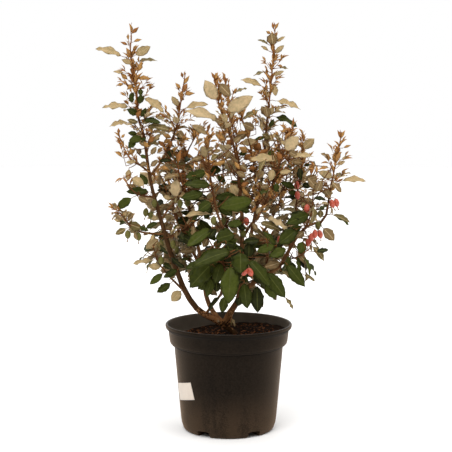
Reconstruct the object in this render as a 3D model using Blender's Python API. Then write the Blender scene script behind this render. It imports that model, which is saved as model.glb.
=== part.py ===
"""Silverberry shrub in a round nursery pot.

Metres, +Z up, with the viewer on the -Y side and +X to the right. The origin is the middle of
the pot's flat underside. Several stems leave a short leaning crown just above the soil. Each
stem or bough is one tapering limb, and each spray of foliage is one solid: a stem, twigs and
leaves grown by a seeded rule, which keeps to the space nearer to its own stem than to any other.
"""
from collections import namedtuple
from math import cos, pi, radians, sin
from random import Random

import bmesh
import bpy
import numpy as np
from mathutils import Matrix, Vector
from mathutils.bvhtree import BVHTree
from mathutils.geometry import interpolate_bezier

# Clearance between pieces that touch
GAP = 0.0003

# Pot: a 7.5 litre nursery container
POT_HEIGHT = 0.2203
POT_SIDES = 32
BASE_THICKNESS = 0.015
FOOT_RADIUS = 0.0905
# Outer wall from the ground up, as (radius, height)
OUTER_WALL = (
    (FOOT_RADIUS, 0.0), (0.0952, 0.0045), (0.0978, 0.0140), (0.1128, 0.1750), (0.1192, 0.1790),
    (0.1216, 0.1830), (0.1243, 0.2070), (0.1300, 0.2115), (0.1309, 0.2175), (0.1292, POT_HEIGHT),
)
# Inner wall from the rim down to the floor
INNER_WALL = (
    (0.1260, 0.2190), (0.1225, 0.2060), (0.1198, 0.1850), (0.1112, 0.1765), (0.0952, 0.0195),
    (0.0915, BASE_THICKNESS),
)
# Recesses in the base's edge, either side of each of three feet
FEET = 3
RECESS_ANGLE = radians(33)
RECESS_HEIGHT = 0.0118
RECESS_WIDTH = 0.0280
RECESS_DEPTH = 0.0240

# Soil: its level at the crown, how far it rises at the right wall and sinks at the left, the
# size of its lumps, and the level ground round the crown
SOIL_LEVEL = 0.1925
SOIL_RISE = 0.0105
SOIL_SINK = 0.0022
SOIL_LUMP = 0.0010
SOIL_FLAT = 0.024
CROWN = Vector((0.013, 0.026, SOIL_LEVEL + GAP))

# Growth
GOLDEN_ANGLE = radians(137.5)
LIMB_STEPS = 2
STEM_STEPS = 2
LIMB_SIDES = 7
BOUGH_SIDES = 5
SPINE_SIDES = 4
TWIG_SIDES = 3
TIP_RADIUS = 0.0009
TWIG_RADIUS = 0.0013
SIDE_STEM_RADIUS = 0.0022
SINK = 0.6
KEEP_RATIOS = (0.70, 0.75, 0.80, 0.86, 0.92)
SMALLER = (1.0, 0.82, 0.66)
LEAF_THICKNESS = 0.0010
LEAF_WIDTH = 0.50
YOUNG_WIDTH = 0.38
LEAF_FOLD = 0.14
LEAF_ARCH = 0.05
SPACE_MARGIN = 0.0010
LIMB_CLEARANCE = 0.0012
RIM_CLEARANCE = 0.004
FRUIT_LENGTH = 0.018
FRUIT_WIDTH = 0.0088

# A limb: the limb that carries it, how far along that one it leaves (1 is its end), the points
# that it passes and its radius at root and tip
Limb = namedtuple("Limb", "carrier at path root tip")

LIMBS = {
    "crown": Limb(None, 0, [(0.001, 0.022, 0.2035), (-0.016, 0.018, 0.2160)], 0.0052, 0.0066),
    "stem_left": Limb("crown", 1, [
        (-0.041, 0.014, 0.231), (-0.066, 0.008, 0.249), (-0.094, -0.002, 0.295),
        (-0.123, -0.015, 0.382), (-0.137, -0.020, 0.434), (-0.155, -0.024, 0.500),
        (-0.163, -0.026, 0.547)], 0.0066, 0.0032),
    "stem_centre": Limb("crown", 0.80, [
        (0.002, 0.012, 0.2385), (0.020, 0.004, 0.268), (0.026, -0.004, 0.310),
        (0.027, -0.010, 0.371), (0.027, -0.016, 0.446), (0.022, -0.020, 0.497)], 0.0066, 0.0036),
    "stem_rear": Limb("crown", 0.80, [
        (-0.033, 0.034, 0.238), (-0.046, 0.046, 0.265), (-0.054, 0.060, 0.311),
        (-0.063, 0.072, 0.363), (-0.080, 0.082, 0.436)], 0.0054, 0.0032),
    "stem_back": Limb("crown", 0.55, [
        (0.004, 0.038, 0.2320), (0.0195, 0.048, 0.2600), (0.0275, 0.060, 0.2990),
        (0.036, 0.068, 0.347), (0.049, 0.074, 0.402), (0.060, 0.072, 0.459),
        (0.068, 0.064, 0.505)], 0.0054, 0.0030),
    "stem_right": Limb("stem_centre", 0.22, [
        (0.045, -0.002, 0.299), (0.070, -0.010, 0.318), (0.100, -0.016, 0.337),
        (0.114, -0.018, 0.357), (0.136, -0.020, 0.397), (0.161, -0.020, 0.424),
        (0.188, -0.018, 0.432)], 0.0052, 0.0026),
    "bough_left_inner": Limb("stem_left", 0.94, [
        (-0.147, -0.020, 0.542), (-0.137, -0.012, 0.554), (-0.128, -0.005, 0.572)], 0.0026, 0.0021),
    "bough_left_low": Limb("stem_left", 0.62, [
        (-0.161, -0.040, 0.411), (-0.178, -0.060, 0.417)], 0.0026, 0.0019),
    "bough_left_bottom": Limb("stem_left", 0.27, [
        (-0.117, -0.022, 0.316), (-0.136, -0.038, 0.342)], 0.0026, 0.0018),
    "bough_left_heart": Limb("stem_left", 0.70, [
        (-0.119, -0.022, 0.463), (-0.104, -0.026, 0.478)], 0.0024, 0.0020),
    "bough_centre_left": Limb("stem_centre", 0.44, [
        (0.009, -0.036, 0.383), (-0.011, -0.058, 0.422), (-0.023, -0.066, 0.455)], 0.0034, 0.0025),
    "bough_front": Limb("stem_left", 0.10, [
        (-0.032, -0.010, 0.261), (-0.016, -0.040, 0.287), (-0.011, -0.062, 0.317)], 0.0030, 0.0024),
    "bough_right_inner": Limb("stem_centre", 0.66, [
        (0.043, -0.028, 0.425), (0.059, -0.040, 0.446), (0.073, -0.046, 0.471)], 0.0032, 0.0024),
    "bough_back_left": Limb("stem_rear", 0.52, [
        (-0.085, 0.098, 0.372), (-0.104, 0.118, 0.412)], 0.0032, 0.0024),
    "bough_back_right": Limb("stem_back", 0.58, [
        (0.070, 0.095, 0.392), (0.096, 0.112, 0.432)], 0.0032, 0.0024),
    "bough_back_centre": Limb("stem_back", 0.38, [
        (0.010, 0.098, 0.345), (-0.002, 0.120, 0.395)], 0.0032, 0.0024),
}

# A spray: its carrier and place on it, the points of its stem, how far its own growth reaches,
# how many nodes it has, how far up they bear twigs rather than young spurs, the length of its
# leaves at root and tip, and its seed
Spray = namedtuple("Spray", "carrier at path reach nodes twiggy low high seed")

SPRAYS = {
    "spray_left_top": Spray("stem_left", 1, [
        (-0.171, -0.028, 0.609), (-0.182, -0.028, 0.645), (-0.185, -0.028, 0.698),
        (-0.197, -0.028, 0.769), (-0.194, -0.028, 0.802), (-0.197, -0.028, 0.829)],
        0.040, 15, 0.45, 0.040, 0.018, 11),
    "spray_left_inner": Spray("bough_left_inner", 1, [
        (-0.112, 0.004, 0.608), (-0.103, 0.008, 0.640), (-0.094, 0.012, 0.699),
        (-0.088, 0.012, 0.734)], 0.036, 10, 0.40, 0.036, 0.018, 12),
    "spray_left_outer": Spray("stem_left", 0.965, [
        (-0.178, -0.038, 0.549), (-0.196, -0.046, 0.560), (-0.214, -0.050, 0.594),
        (-0.220, -0.050, 0.619)], 0.032, 8, 0.40, 0.030, 0.016, 13),
    "spray_left_mid": Spray("stem_left", 0.83, [
        (-0.170, -0.045, 0.487), (-0.189, -0.062, 0.497), (-0.210, -0.075, 0.526)],
        0.036, 7, 0.70, 0.038, 0.022, 14),
    "spray_left_low": Spray("bough_left_low", 1, [
        (-0.193, -0.072, 0.428), (-0.205, -0.080, 0.441), (-0.218, -0.086, 0.461),
        (-0.232, -0.090, 0.465)], 0.036, 6, 0.60, 0.038, 0.024, 15),
    "spray_left_bottom": Spray("bough_left_bottom", 1, [
        (-0.146, -0.046, 0.362), (-0.153, -0.050, 0.389)], 0.046, 7, 0.80, 0.046, 0.036, 16),
    "spray_left_inside": Spray("stem_left", 0.60, [
        (-0.113, -0.030, 0.403), (-0.096, -0.042, 0.411), (-0.080, -0.050, 0.434)],
        0.058, 9, 0.90, 0.054, 0.042, 17),
    "spray_left_heart": Spray("bough_left_heart", 1, [
        (-0.092, -0.032, 0.498), (-0.098, -0.038, 0.527), (-0.102, -0.040, 0.549)],
        0.060, 10, 0.80, 0.052, 0.034, 18),
    "spray_rear_left": Spray("stem_rear", 1, [
        (-0.090, 0.084, 0.479), (-0.096, 0.080, 0.526), (-0.087, 0.072, 0.570),
        (-0.062, 0.066, 0.613)], 0.070, 14, 0.80, 0.054, 0.022, 19),
    "spray_centre_left": Spray("bough_centre_left", 1, [
        (-0.030, -0.066, 0.489), (-0.037, -0.062, 0.529), (-0.041, -0.056, 0.570),
        (-0.042, -0.052, 0.616)], 0.060, 12, 0.70, 0.056, 0.020, 20),
    "spray_centre_front": Spray("bough_front", 1, [
        (-0.009, -0.078, 0.346), (-0.017, -0.092, 0.372), (-0.033, -0.104, 0.394)],
        0.066, 10, 0.90, 0.066, 0.054, 21),
    "spray_centre_top": Spray("stem_centre", 1, [
        (0.016, -0.026, 0.563), (0.005, -0.032, 0.602), (-0.018, -0.042, 0.665),
        (-0.025, -0.044, 0.703), (-0.025, -0.044, 0.733)], 0.048, 15, 0.60, 0.042, 0.017, 22),
    "spray_centre_second": Spray("stem_centre", 0.93, [
        (0.025, 0.010, 0.526), (0.015, 0.020, 0.587), (0.001, 0.022, 0.659),
        (-0.007, 0.020, 0.723)], 0.050, 14, 0.60, 0.042, 0.016, 23),
    "spray_front_right": Spray("stem_right", 0.22, [
        (0.075, -0.046, 0.345), (0.079, -0.072, 0.377), (0.074, -0.088, 0.407)],
        0.066, 10, 0.90, 0.060, 0.048, 24),
    "spray_right_inner": Spray("bough_right_inner", 1, [
        (0.087, -0.050, 0.506), (0.101, -0.050, 0.548), (0.112, -0.048, 0.582),
        (0.125, -0.044, 0.626)], 0.052, 12, 0.70, 0.046, 0.017, 25),
    "spray_centre_right": Spray("stem_back", 0.78, [
        (0.056, 0.034, 0.500), (0.050, 0.012, 0.557), (0.036, 0.000, 0.614),
        (0.024, -0.004, 0.649)], 0.066, 16, 0.75, 0.048, 0.018, 26),
    "spray_tall_right": Spray("stem_back", 1, [
        (0.075, 0.056, 0.575), (0.080, 0.050, 0.639), (0.088, 0.046, 0.718),
        (0.093, 0.044, 0.790), (0.096, 0.044, 0.833)], 0.044, 15, 0.50, 0.046, 0.017, 27),
    "spray_right_mid": Spray("stem_right", 0.62, [
        (0.135, 0.022, 0.428), (0.146, 0.044, 0.503), (0.155, 0.050, 0.565),
        (0.153, 0.050, 0.606)], 0.056, 13, 0.70, 0.050, 0.018, 28),
    "spray_right_fruit": Spray("stem_right", 0.76, [
        (0.158, -0.048, 0.431), (0.167, -0.058, 0.464), (0.168, -0.060, 0.501),
        (0.164, -0.060, 0.529)], 0.052, 10, 0.80, 0.048, 0.028, 29),
    "spray_right_tip": Spray("stem_right", 1, [
        (0.202, -0.016, 0.467), (0.208, -0.014, 0.507), (0.222, -0.010, 0.572),
        (0.229, -0.008, 0.615)], 0.036, 10, 0.50, 0.036, 0.016, 30),
    "spray_right_low": Spray("stem_right", 0.46, [
        (0.124, -0.050, 0.360), (0.142, -0.072, 0.369), (0.157, -0.086, 0.383)],
        0.054, 8, 0.90, 0.060, 0.050, 31),
    "spray_back_left": Spray("bough_back_left", 1, [
        (-0.122, 0.136, 0.462), (-0.132, 0.146, 0.520), (-0.130, 0.148, 0.566)],
        0.070, 12, 0.75, 0.054, 0.022, 32),
    "spray_back_right": Spray("bough_back_right", 1, [
        (0.118, 0.126, 0.484), (0.130, 0.136, 0.545), (0.132, 0.138, 0.602)],
        0.070, 12, 0.75, 0.054, 0.022, 33),
    "spray_back_centre": Spray("bough_back_centre", 1, [
        (-0.010, 0.138, 0.462), (-0.012, 0.148, 0.535), (-0.008, 0.150, 0.628)],
        0.070, 13, 0.75, 0.054, 0.020, 34),
    "spray_back_low": Spray("stem_back", 0.26, [
        (0.042, 0.096, 0.318), (0.070, 0.126, 0.346), (0.088, 0.146, 0.372)],
        0.062, 11, 0.90, 0.060, 0.046, 35),
    "spray_back_low_left": Spray("stem_rear", 0.30, [
        (-0.072, 0.092, 0.322), (-0.096, 0.116, 0.346), (-0.118, 0.128, 0.372)],
        0.062, 11, 0.90, 0.060, 0.046, 36),
}

# The outstanding leaves of a spray: the place on its stem, the bearing in degrees from +X
# towards +Y, the rise in degrees, length and width in millimetres, and the roll in degrees
Leaf = namedtuple("Leaf", "at bearing rise length width roll")

OUTSTANDING = {
    "spray_left_top": [
        Leaf(0.75, -165, 18, 73, 22, 40), Leaf(0.74, -15, 37, 51, 20, -70),
        Leaf(0.70, -115, 21, 39, 16, 35), Leaf(0.70, 15, 12, 53, 18, -6),
        Leaf(0.41, -165, 5, 72, 20, 25), Leaf(0.50, -15, -29, 73, 20, -45),
        Leaf(0.30, 165, -3, 69, 20, 12), Leaf(0.34, -115, 24, 47, 20, -50),
        Leaf(0.24, -130, -24, 48, 22, -50), Leaf(0.83, -165, 28, 24, 9, 40),
        Leaf(0.86, -15, 23, 25, 9, -40), Leaf(0.62, -165, 17, 45, 11, 20),
        Leaf(0.53, -15, 13, 41, 11, -20)],
    "spray_left_inner": [
        Leaf(0.52, 15, 15, 62, 18, -30), Leaf(0.71, -15, 9, 30, 9, -20),
        Leaf(0.57, -120, 44, 34, 12, 65), Leaf(0.40, -160, 44, 47, 10, 20),
        Leaf(0.34, -15, 24, 40, 10, -20), Leaf(0.78, -160, 44, 21, 9, 50)],
    "spray_left_outer": [
        Leaf(0.39, -140, -69, 41, 14, 70), Leaf(0.22, -140, -67, 43, 28, 70)],
    "spray_left_mid": [Leaf(0.12, -145, 12, 58, 24, -55)],
    "spray_left_low": [
        Leaf(0.83, -20, 42, 44, 24, 60), Leaf(0.45, -45, -16, 40, 22, 70),
        Leaf(0.38, -140, -29, 37, 20, -60)],
    "spray_left_bottom": [
        Leaf(0.71, -120, 39, 41, 24, 60), Leaf(0.35, -165, -7, 50, 16, 25),
        Leaf(0.16, -120, 4, 43, 22, 50), Leaf(0.02, -130, -46, 46, 22, -65)],
    "spray_left_heart": [
        Leaf(0.03, 75, 64, 49, 28, -85), Leaf(0.32, 150, -38, 52, 22, 60)],
    "spray_centre_left": [
        Leaf(0.36, -145, 3, 63, 28, -50), Leaf(0.20, -165, -3, 67, 28, -50),
        Leaf(0.07, -135, -2, 49, 26, -60), Leaf(0.46, -140, 7, 47, 24, -40)],
    "spray_centre_front": [
        Leaf(0.38, -65, -74, 76, 38, 85), Leaf(0.68, -55, -20, 76, 38, 60),
        Leaf(0.86, -165, 11, 58, 30, -50), Leaf(0.52, -150, 0, 67, 30, -50),
        Leaf(0.42, -165, -30, 81, 36, -60), Leaf(0.25, -135, -41, 65, 26, -60),
        Leaf(0.56, -90, -28, 86, 38, 10)],
    "spray_centre_top": [
        Leaf(0.68, -145, 65, 70, 30, 70), Leaf(0.63, -15, 34, 76, 30, -65),
        Leaf(0.60, -165, 16, 86, 20, 50), Leaf(0.47, 165, 14, 92, 20, 55)],
    "spray_centre_second": [Leaf(0.79, 150, 62, 51, 22, 65), Leaf(0.83, 15, 27, 45, 16, -8)],
    "spray_front_right": [
        Leaf(0.49, -30, -61, 51, 30, 70), Leaf(0.68, -130, 16, 41, 22, -60),
        Leaf(0.97, -15, 22, 48, 16, -40), Leaf(0.85, -85, -25, 47, 26, 60)],
    "spray_right_inner": [
        Leaf(0.68, -20, 38, 44, 26, -75), Leaf(0.60, -165, 28, 52, 20, 40),
        Leaf(0.50, -165, 13, 60, 20, 50)],
    "spray_tall_right": [
        Leaf(0.86, -100, 30, 48, 28, 40), Leaf(0.84, 20, 50, 38, 12, -12),
        Leaf(0.83, -165, 35, 41, 12, 10), Leaf(0.79, -20, 46, 34, 12, -45),
        Leaf(0.73, 15, 0, 37, 12, -4), Leaf(0.69, -165, -7, 39, 14, 6),
        Leaf(0.67, -15, 25, 29, 14, -50), Leaf(0.60, -165, 19, 67, 20, 35),
        Leaf(0.64, -40, -67, 32, 12, -75), Leaf(0.53, -15, -13, 71, 20, -14),
        Leaf(0.43, -15, -14, 67, 22, 20), Leaf(0.41, -165, -2, 52, 20, -20),
        Leaf(0.49, -120, -26, 37, 22, 60), Leaf(0.47, -60, -19, 36, 20, -50)],
    "spray_right_mid": [
        Leaf(0.86, -20, 50, 37, 18, -75), Leaf(0.79, 140, 4, 38, 18, 20),
        Leaf(0.80, 35, 5, 35, 14, -8)],
    "spray_right_fruit": [
        Leaf(0.33, -165, -3, 46, 30, -45), Leaf(0.16, -15, -18, 66, 28, -60),
        Leaf(0.08, -95, -76, 43, 24, -80)],
    "spray_right_tip": [
        Leaf(0.48, -15, -1, 66, 20, -25), Leaf(0.45, -160, 40, 39, 20, 55),
        Leaf(0.11, -15, -24, 73, 14, 15), Leaf(0.68, -165, 26, 36, 12, 35),
        Leaf(0.80, -15, 22, 26, 9, -20), Leaf(0.54, 165, 20, 34, 14, 10)],
    "spray_right_low": [
        Leaf(0.25, -65, -74, 96, 28, 55), Leaf(0.43, -30, -61, 62, 36, 65),
        Leaf(0.93, -15, -20, 43, 22, 45), Leaf(0.73, 25, -58, 62, 14, 15)],
}

# The fruit of a spray: the place on its stem, and the bearing, rise and length of its stalk
Fruit = namedtuple("Fruit", "at bearing rise stalk")

FRUITS = {
    "spray_left_low": [Fruit(0.30, -110, -30, 12), Fruit(0.05, -100, -30, 12)],
    "spray_left_mid": [Fruit(0.18, -120, -70, 22)],
    "spray_left_bottom": [Fruit(0.30, 0, -10, 16)],
    "spray_left_inside": [Fruit(0.25, -160, -40, 14), Fruit(0.55, -60, -50, 12)],
    "spray_left_heart": [Fruit(0.12, -80, 0, 14), Fruit(0.20, -20, -10, 16)],
    "spray_centre_left": [Fruit(0.05, -20, -30, 14)],
    "spray_front_right": [Fruit(0.90, 0, -5, 22), Fruit(0.30, -170, -5, 30)],
    "spray_right_fruit": [Fruit(0.12, -95, -20, 14), Fruit(0.20, -20, -20, 20), Fruit(0.24, -50, -45, 14)],
    "spray_right_tip": [Fruit(0.42, -80, 0, 12), Fruit(0.44, -15, 0, 14)],
}

# Colours: red, green and blue, then roughness
FINISHES = {
    "pot": ((0.020, 0.017, 0.015), 0.55),
    "soil": ((0.030, 0.014, 0.008), 0.95),
    "bark": ((0.130, 0.055, 0.028), 0.80),
    "foliage": ((0.110, 0.115, 0.045), 0.60),
}


def clear_scene():
    """Remove every object from the scene."""
    for obj in list(bpy.data.objects):
        bpy.data.objects.remove(obj, do_unlink=True)


def finish(name):
    """The material called name, made once."""
    material = bpy.data.materials.get(name)
    if material is None:
        colour, roughness = FINISHES[name]
        material = bpy.data.materials.new(name)
        material.use_nodes = True
        shader = material.node_tree.nodes["Principled BSDF"]
        shader.inputs["Base Color"].default_value = (*colour, 1.0)
        shader.inputs["Roughness"].default_value = roughness
        shader.inputs["Metallic"].default_value = 0.0
    return material


def new_object(name, shape, material, collection=None):
    """An object in the scene from a shape, a pair of points and faces."""
    mesh = bpy.data.meshes.new(name)
    mesh.from_pydata(*[list(shape[0]), [], list(shape[1])])
    mesh.materials.append(finish(material))
    obj = bpy.data.objects.new(name, mesh)
    (collection or bpy.context.scene.collection).objects.link(obj)
    return obj


def apply_modifiers(obj):
    """Replace an object's mesh with what its modifiers make of it."""
    evaluated = obj.evaluated_get(bpy.context.evaluated_depsgraph_get())
    mesh = bpy.data.meshes.new_from_object(evaluated)
    obj.modifiers.clear()
    obj.data = mesh


def boolean(obj, operation, target):
    """Join or cut obj with another object or with a whole collection, and apply it."""
    modifier = obj.modifiers.new(operation.title(), "BOOLEAN")
    modifier.operation = operation
    modifier.solver = "EXACT"
    if isinstance(target, bpy.types.Collection):
        modifier.operand_type = "COLLECTION"
        modifier.collection = target
    else:
        modifier.object = target
    apply_modifiers(obj)


def remove_with_mesh(obj):
    """Delete an object and its mesh."""
    mesh = obj.data
    bpy.data.objects.remove(obj, do_unlink=True)
    bpy.data.meshes.remove(mesh)


def keep_main_body(obj):
    """Keep the largest closed body of a mesh, and drop loose scraps and sealed hollows."""
    bm = bmesh.new()
    bm.from_mesh(obj.data)
    bmesh.ops.remove_doubles(bm, verts=bm.verts, dist=2e-6)
    bmesh.ops.triangulate(bm, faces=bm.faces)
    bodies = sorted(bodies_of(bm), key=signed_volume)
    scraps = [face for body in bodies[:-1] for face in body]
    bmesh.ops.delete(bm, geom=scraps, context="FACES")
    bm.to_mesh(obj.data)
    bm.free()


def bodies_of(bm):
    """The faces of each body of a mesh."""
    waiting = set(bm.faces)
    bodies = []
    while waiting:
        body = [waiting.pop()]
        for face in body:
            for edge in face.edges:
                if len(edge.link_faces) != 2:
                    continue
                for other in edge.link_faces:
                    if other in waiting:
                        waiting.remove(other)
                        body.append(other)
        bodies.append(body)
    return bodies


def thin_out(obj, neighbours):
    """Drop the slightest facets that the joins leave, where the mesh stays sound and clear."""
    before = obj.data
    modifier = obj.modifiers.new("Thin out", "DECIMATE")
    modifier.use_collapse_triangulate = True
    for ratio in KEEP_RATIOS:
        modifier.ratio = ratio
        evaluated = obj.evaluated_get(bpy.context.evaluated_depsgraph_get())
        mesh = bpy.data.meshes.new_from_object(evaluated)
        if is_sound(mesh, neighbours):
            obj.modifiers.clear()
            obj.data = mesh
            return
    obj.modifiers.clear()
    obj.data = before


def is_sound(mesh, neighbours):
    """Whether a mesh is one closed body, free of crossing facets and clear of its neighbours."""
    bm = bmesh.new()
    bm.from_mesh(mesh)
    bmesh.ops.remove_doubles(bm, verts=bm.verts, dist=2e-6)
    bm.faces.ensure_lookup_table()
    closed = all(edge.is_manifold for edge in bm.edges) and all(v.is_manifold for v in bm.verts)
    closed = closed and len(bodies_of(bm)) == 1
    tree = BVHTree.FromBMesh(bm)
    corners = [set(v.index for v in face.verts) for face in bm.faces]
    crossing = any(not corners[a] & corners[b] for a, b in tree.overlap(tree) if a < b)
    touching = any(tree.overlap(other) for other in neighbours)
    bm.free()
    return closed and not crossing and not touching


def tree_of(obj):
    """A search tree of an object's faces."""
    faces = [tuple(polygon.vertices) for polygon in obj.data.polygons]
    return BVHTree.FromPolygons([v.co for v in obj.data.vertices], faces)


def signed_volume(faces):
    """Six times the volume inside a set of triangles."""
    return sum(f.verts[0].co.dot(f.verts[1].co.cross(f.verts[2].co)) for f in faces)


def smooth_path(points, steps, first_direction=None):
    """Points along one smooth curve through the given points."""
    knots = [Vector(p) for p in points]
    tangents = [(b - a) / 2 for a, b in zip([knots[0]] + knots[:-1], knots[1:] + [knots[-1]])]
    tangents[0] = (knots[1] - knots[0]) * 0.9
    tangents[-1] = (knots[-1] - knots[-2]) * 0.9
    if first_direction is not None:
        tangents[0] = first_direction * (knots[1] - knots[0]).length
    path = [knots[0]]
    for i in range(len(knots) - 1):
        span = interpolate_bezier(
            knots[i], knots[i] + tangents[i] / 3, knots[i + 1] - tangents[i + 1] / 3, knots[i + 1],
            steps + 1)
        path.extend(Vector(p) for p in span[1:])
    return path


def directions_along(path):
    """The unit direction of travel at each point of a path."""
    ahead = path[1:] + [path[-1] + (path[-1] - path[-2])]
    behind = [path[0] - (path[1] - path[0])] + path[:-1]
    return [(b - a).normalized() for a, b in zip(behind, ahead)]


def point_on(path, fraction):
    """The point a given fraction of the way along a path, and the direction there."""
    lengths = [(b - a).length for a, b in zip(path, path[1:])]
    left = max(0.0, min(1.0, fraction)) * sum(lengths)
    for a, b, length in zip(path, path[1:], lengths):
        if left <= length:
            return a.lerp(b, left / length), (b - a).normalized()
        left -= length
    return path[-1].copy(), (path[-1] - path[-2]).normalized()


def taper(count, root, tip):
    """Radii from root to tip."""
    return [root + (tip - root) * i / (count - 1) for i in range(count)]


def tube(path, radii, sides, directions=None, ground=None):
    """A closed tapering tube along a path, with flat ends. Its foot can be level with the ground."""
    directions = directions or directions_along(path)
    across = directions[0].orthogonal().normalized()
    points = []
    for i, (centre, direction, radius) in enumerate(zip(path, directions, radii)):
        across = (across - direction * across.dot(direction)).normalized()
        up = direction.cross(across)
        for k in range(sides):
            turn = 2 * pi * k / sides
            spot = centre + (across * cos(turn) + up * sin(turn)) * radius
            if ground is not None:
                spot.z = ground if i == 0 else max(spot.z, ground + 0.0015 * i)
            points.append(spot)
    faces = [tuple(reversed(range(sides)))]
    for i in range(len(path) - 1):
        for k in range(sides):
            a = i * sides + k
            b = i * sides + (k + 1) % sides
            faces.append((a, b, b + sides, a + sides))
    last = (len(path) - 1) * sides
    faces.append(tuple(range(last, last + sides)))
    return points, faces


def fattened(path, radii, sides, directions, by):
    """A tube that stands out by the given distance all round another, ends included."""
    first, last = directions[0], directions[-1]
    longer = [path[0] - first * by, *path, path[-1] + last * by]
    wider = [r + by for r in (radii[0], *radii, radii[-1])]
    return tube(longer, wider, sides, [first, *directions, last])


def turned(profile, sides):
    """A closed turned shape from a profile that starts and ends on the axis."""
    points = []
    rings = []
    for radius, height in profile:
        if radius == 0:
            rings.append([len(points)])
            points.append(Vector((0, 0, height)))
            continue
        ring = []
        for k in range(sides):
            turn = 2 * pi * k / sides
            ring.append(len(points))
            points.append(Vector((radius * cos(turn), radius * sin(turn), height)))
        rings.append(ring)
    faces = []
    for low, high in zip(rings, rings[1:]):
        for k in range(sides):
            j = (k + 1) % sides
            if len(low) == 1:
                faces.append((low[0], high[j], high[k]))
            elif len(high) == 1:
                faces.append((low[k], low[j], high[0]))
            else:
                faces.append((low[k], low[j], high[j], high[k]))
    return points, faces


def inner_radius(height):
    """The radius of the pot's inner wall at a height."""
    for (r1, z1), (r2, z2) in zip(INNER_WALL, INNER_WALL[1:]):
        if z2 <= height <= z1:
            return r2 + (r1 - r2) * (height - z2) / (z1 - z2)
    raise ValueError("height outside the pot")


def soil_height(x, y):
    """The soil's surface: higher to the right and front, lumpy, level round the crown."""
    lumps = sin(x * 95 + 1.3) * sin(y * 80 + 0.4) + 0.6 * sin(x * 170 - y * 140)
    across = x / inner_radius(SOIL_LEVEL)
    height = SOIL_LUMP * lumps + across * (SOIL_RISE if across > 0 else SOIL_SINK)
    away = Vector((x - CROWN.x, y - CROWN.y)).length
    return SOIL_LEVEL + height * min(1.0, max(0.0, (away - SOIL_FLAT) / 0.03))


def make_pot():
    """The nursery pot: a tapered shell with a collar, a rolled rim and recesses round its base."""
    profile = [(0, 0), *OUTER_WALL, *INNER_WALL, (0, BASE_THICKNESS)]
    pot = new_object("pot", turned(profile, POT_SIDES), "pot")
    recesses = bpy.data.collections.new("recesses")
    for foot in range(FEET):
        for side in (-1, 1):
            turn = -pi / 2 + foot * 2 * pi / FEET + side * RECESS_ANGLE
            bm = bmesh.new()
            bmesh.ops.create_cube(bm, size=1.0)
            size = Matrix.Diagonal((2 * RECESS_DEPTH, RECESS_WIDTH, 2 * RECESS_HEIGHT, 1))
            place = Matrix.Rotation(turn, 4, "Z") @ Matrix.Translation((FOOT_RADIUS, 0, 0))
            bmesh.ops.transform(bm, matrix=place @ size, verts=bm.verts)
            mesh = bpy.data.meshes.new("recess")
            bm.to_mesh(mesh)
            bm.free()
            recesses.objects.link(bpy.data.objects.new("recess", mesh))
    boolean(pot, "DIFFERENCE", recesses)
    clear_collection(recesses)
    return pot


def clear_collection(collection):
    """Delete a collection and all that it holds."""
    for obj in list(collection.objects):
        remove_with_mesh(obj)
    bpy.data.collections.remove(collection)


def make_soil():
    """The soil: it fills the pot up to its uneven surface."""
    wall = [(r - GAP, z) for r, z in reversed(INNER_WALL) if z < SOIL_LEVEL - 0.005]
    wall[0] = (wall[0][0], BASE_THICKNESS + GAP)
    rings = (0.0, 0.22, 0.48, 0.75, 1.0)
    profile = [(0, BASE_THICKNESS + GAP), *wall]
    profile += [(inner_radius(SOIL_LEVEL) * ring, SOIL_LEVEL) for ring in reversed(rings)]
    points, faces = turned(profile, POT_SIDES)
    for point in points:
        if abs(point.z - SOIL_LEVEL) < 1e-6:
            ring = point.xy.length / inner_radius(SOIL_LEVEL)
            if ring < 0.99:
                point.xy += CROWN.xy * (1 - ring * ring)
            point.z = soil_height(point.x, point.y)
            if ring > 0.99:
                point.xy *= (inner_radius(point.z) - GAP) / point.xy.length
    return new_object("soil", (points, faces), "soil")


def limb_path(name, known):
    """The smooth centre line of a limb or a spray's stem, from the carrier that it leaves."""
    growth = LIMBS.get(name) or SPRAYS[name]
    steps = LIMB_STEPS if name in LIMBS else STEM_STEPS
    if growth.carrier is None:
        return smooth_path([CROWN, *growth.path], steps)
    carrier = known[growth.carrier]
    if growth.at < 1:
        foot, _ = point_on(carrier, growth.at)
        return smooth_path([foot, *growth.path], steps)
    along = directions_along(carrier)[-1]
    return smooth_path([carrier[-1] + along * GAP, *growth.path], steps, along)


def crown_radii(path):
    """The crown's radii: its taper, widened into the root flare at the soil."""
    limb = LIMBS["crown"]
    radii = taper(len(path), limb.root, limb.tip)
    radii[0] *= 1.40
    radii[1] *= 1.12
    return radii


def growth_directions(growth, path, paths):
    """The direction at each point of a limb or stem. An end joint faces on from its carrier's tip."""
    directions = directions_along(path)
    if growth.carrier is not None and growth.at == 1:
        directions[0] = directions_along(paths[growth.carrier])[-1]
    return directions


def make_limbs(paths):
    """The crown, stems and boughs, each cut clear of the limbs that it touches."""
    limbs = {}
    for name, limb in LIMBS.items():
        path = paths[name]
        is_crown = limb.carrier is None
        radii = crown_radii(path) if is_crown else taper(len(path), limb.root, limb.tip)
        sides = LIMB_SIDES if limb.root > 0.004 else BOUGH_SIDES
        directions = growth_directions(limb, path, paths)
        shape = tube(path, radii, sides, directions, CROWN.z if is_crown else None)
        obj = new_object(name, shape, "bark")
        for other, other_limb in limbs.items():
            if limb.at == 1 and other == limb.carrier:
                continue
            cut_clear(obj, shape, other_limb)
        limbs[name] = (path, radii, sides, directions)
    return limbs


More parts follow.
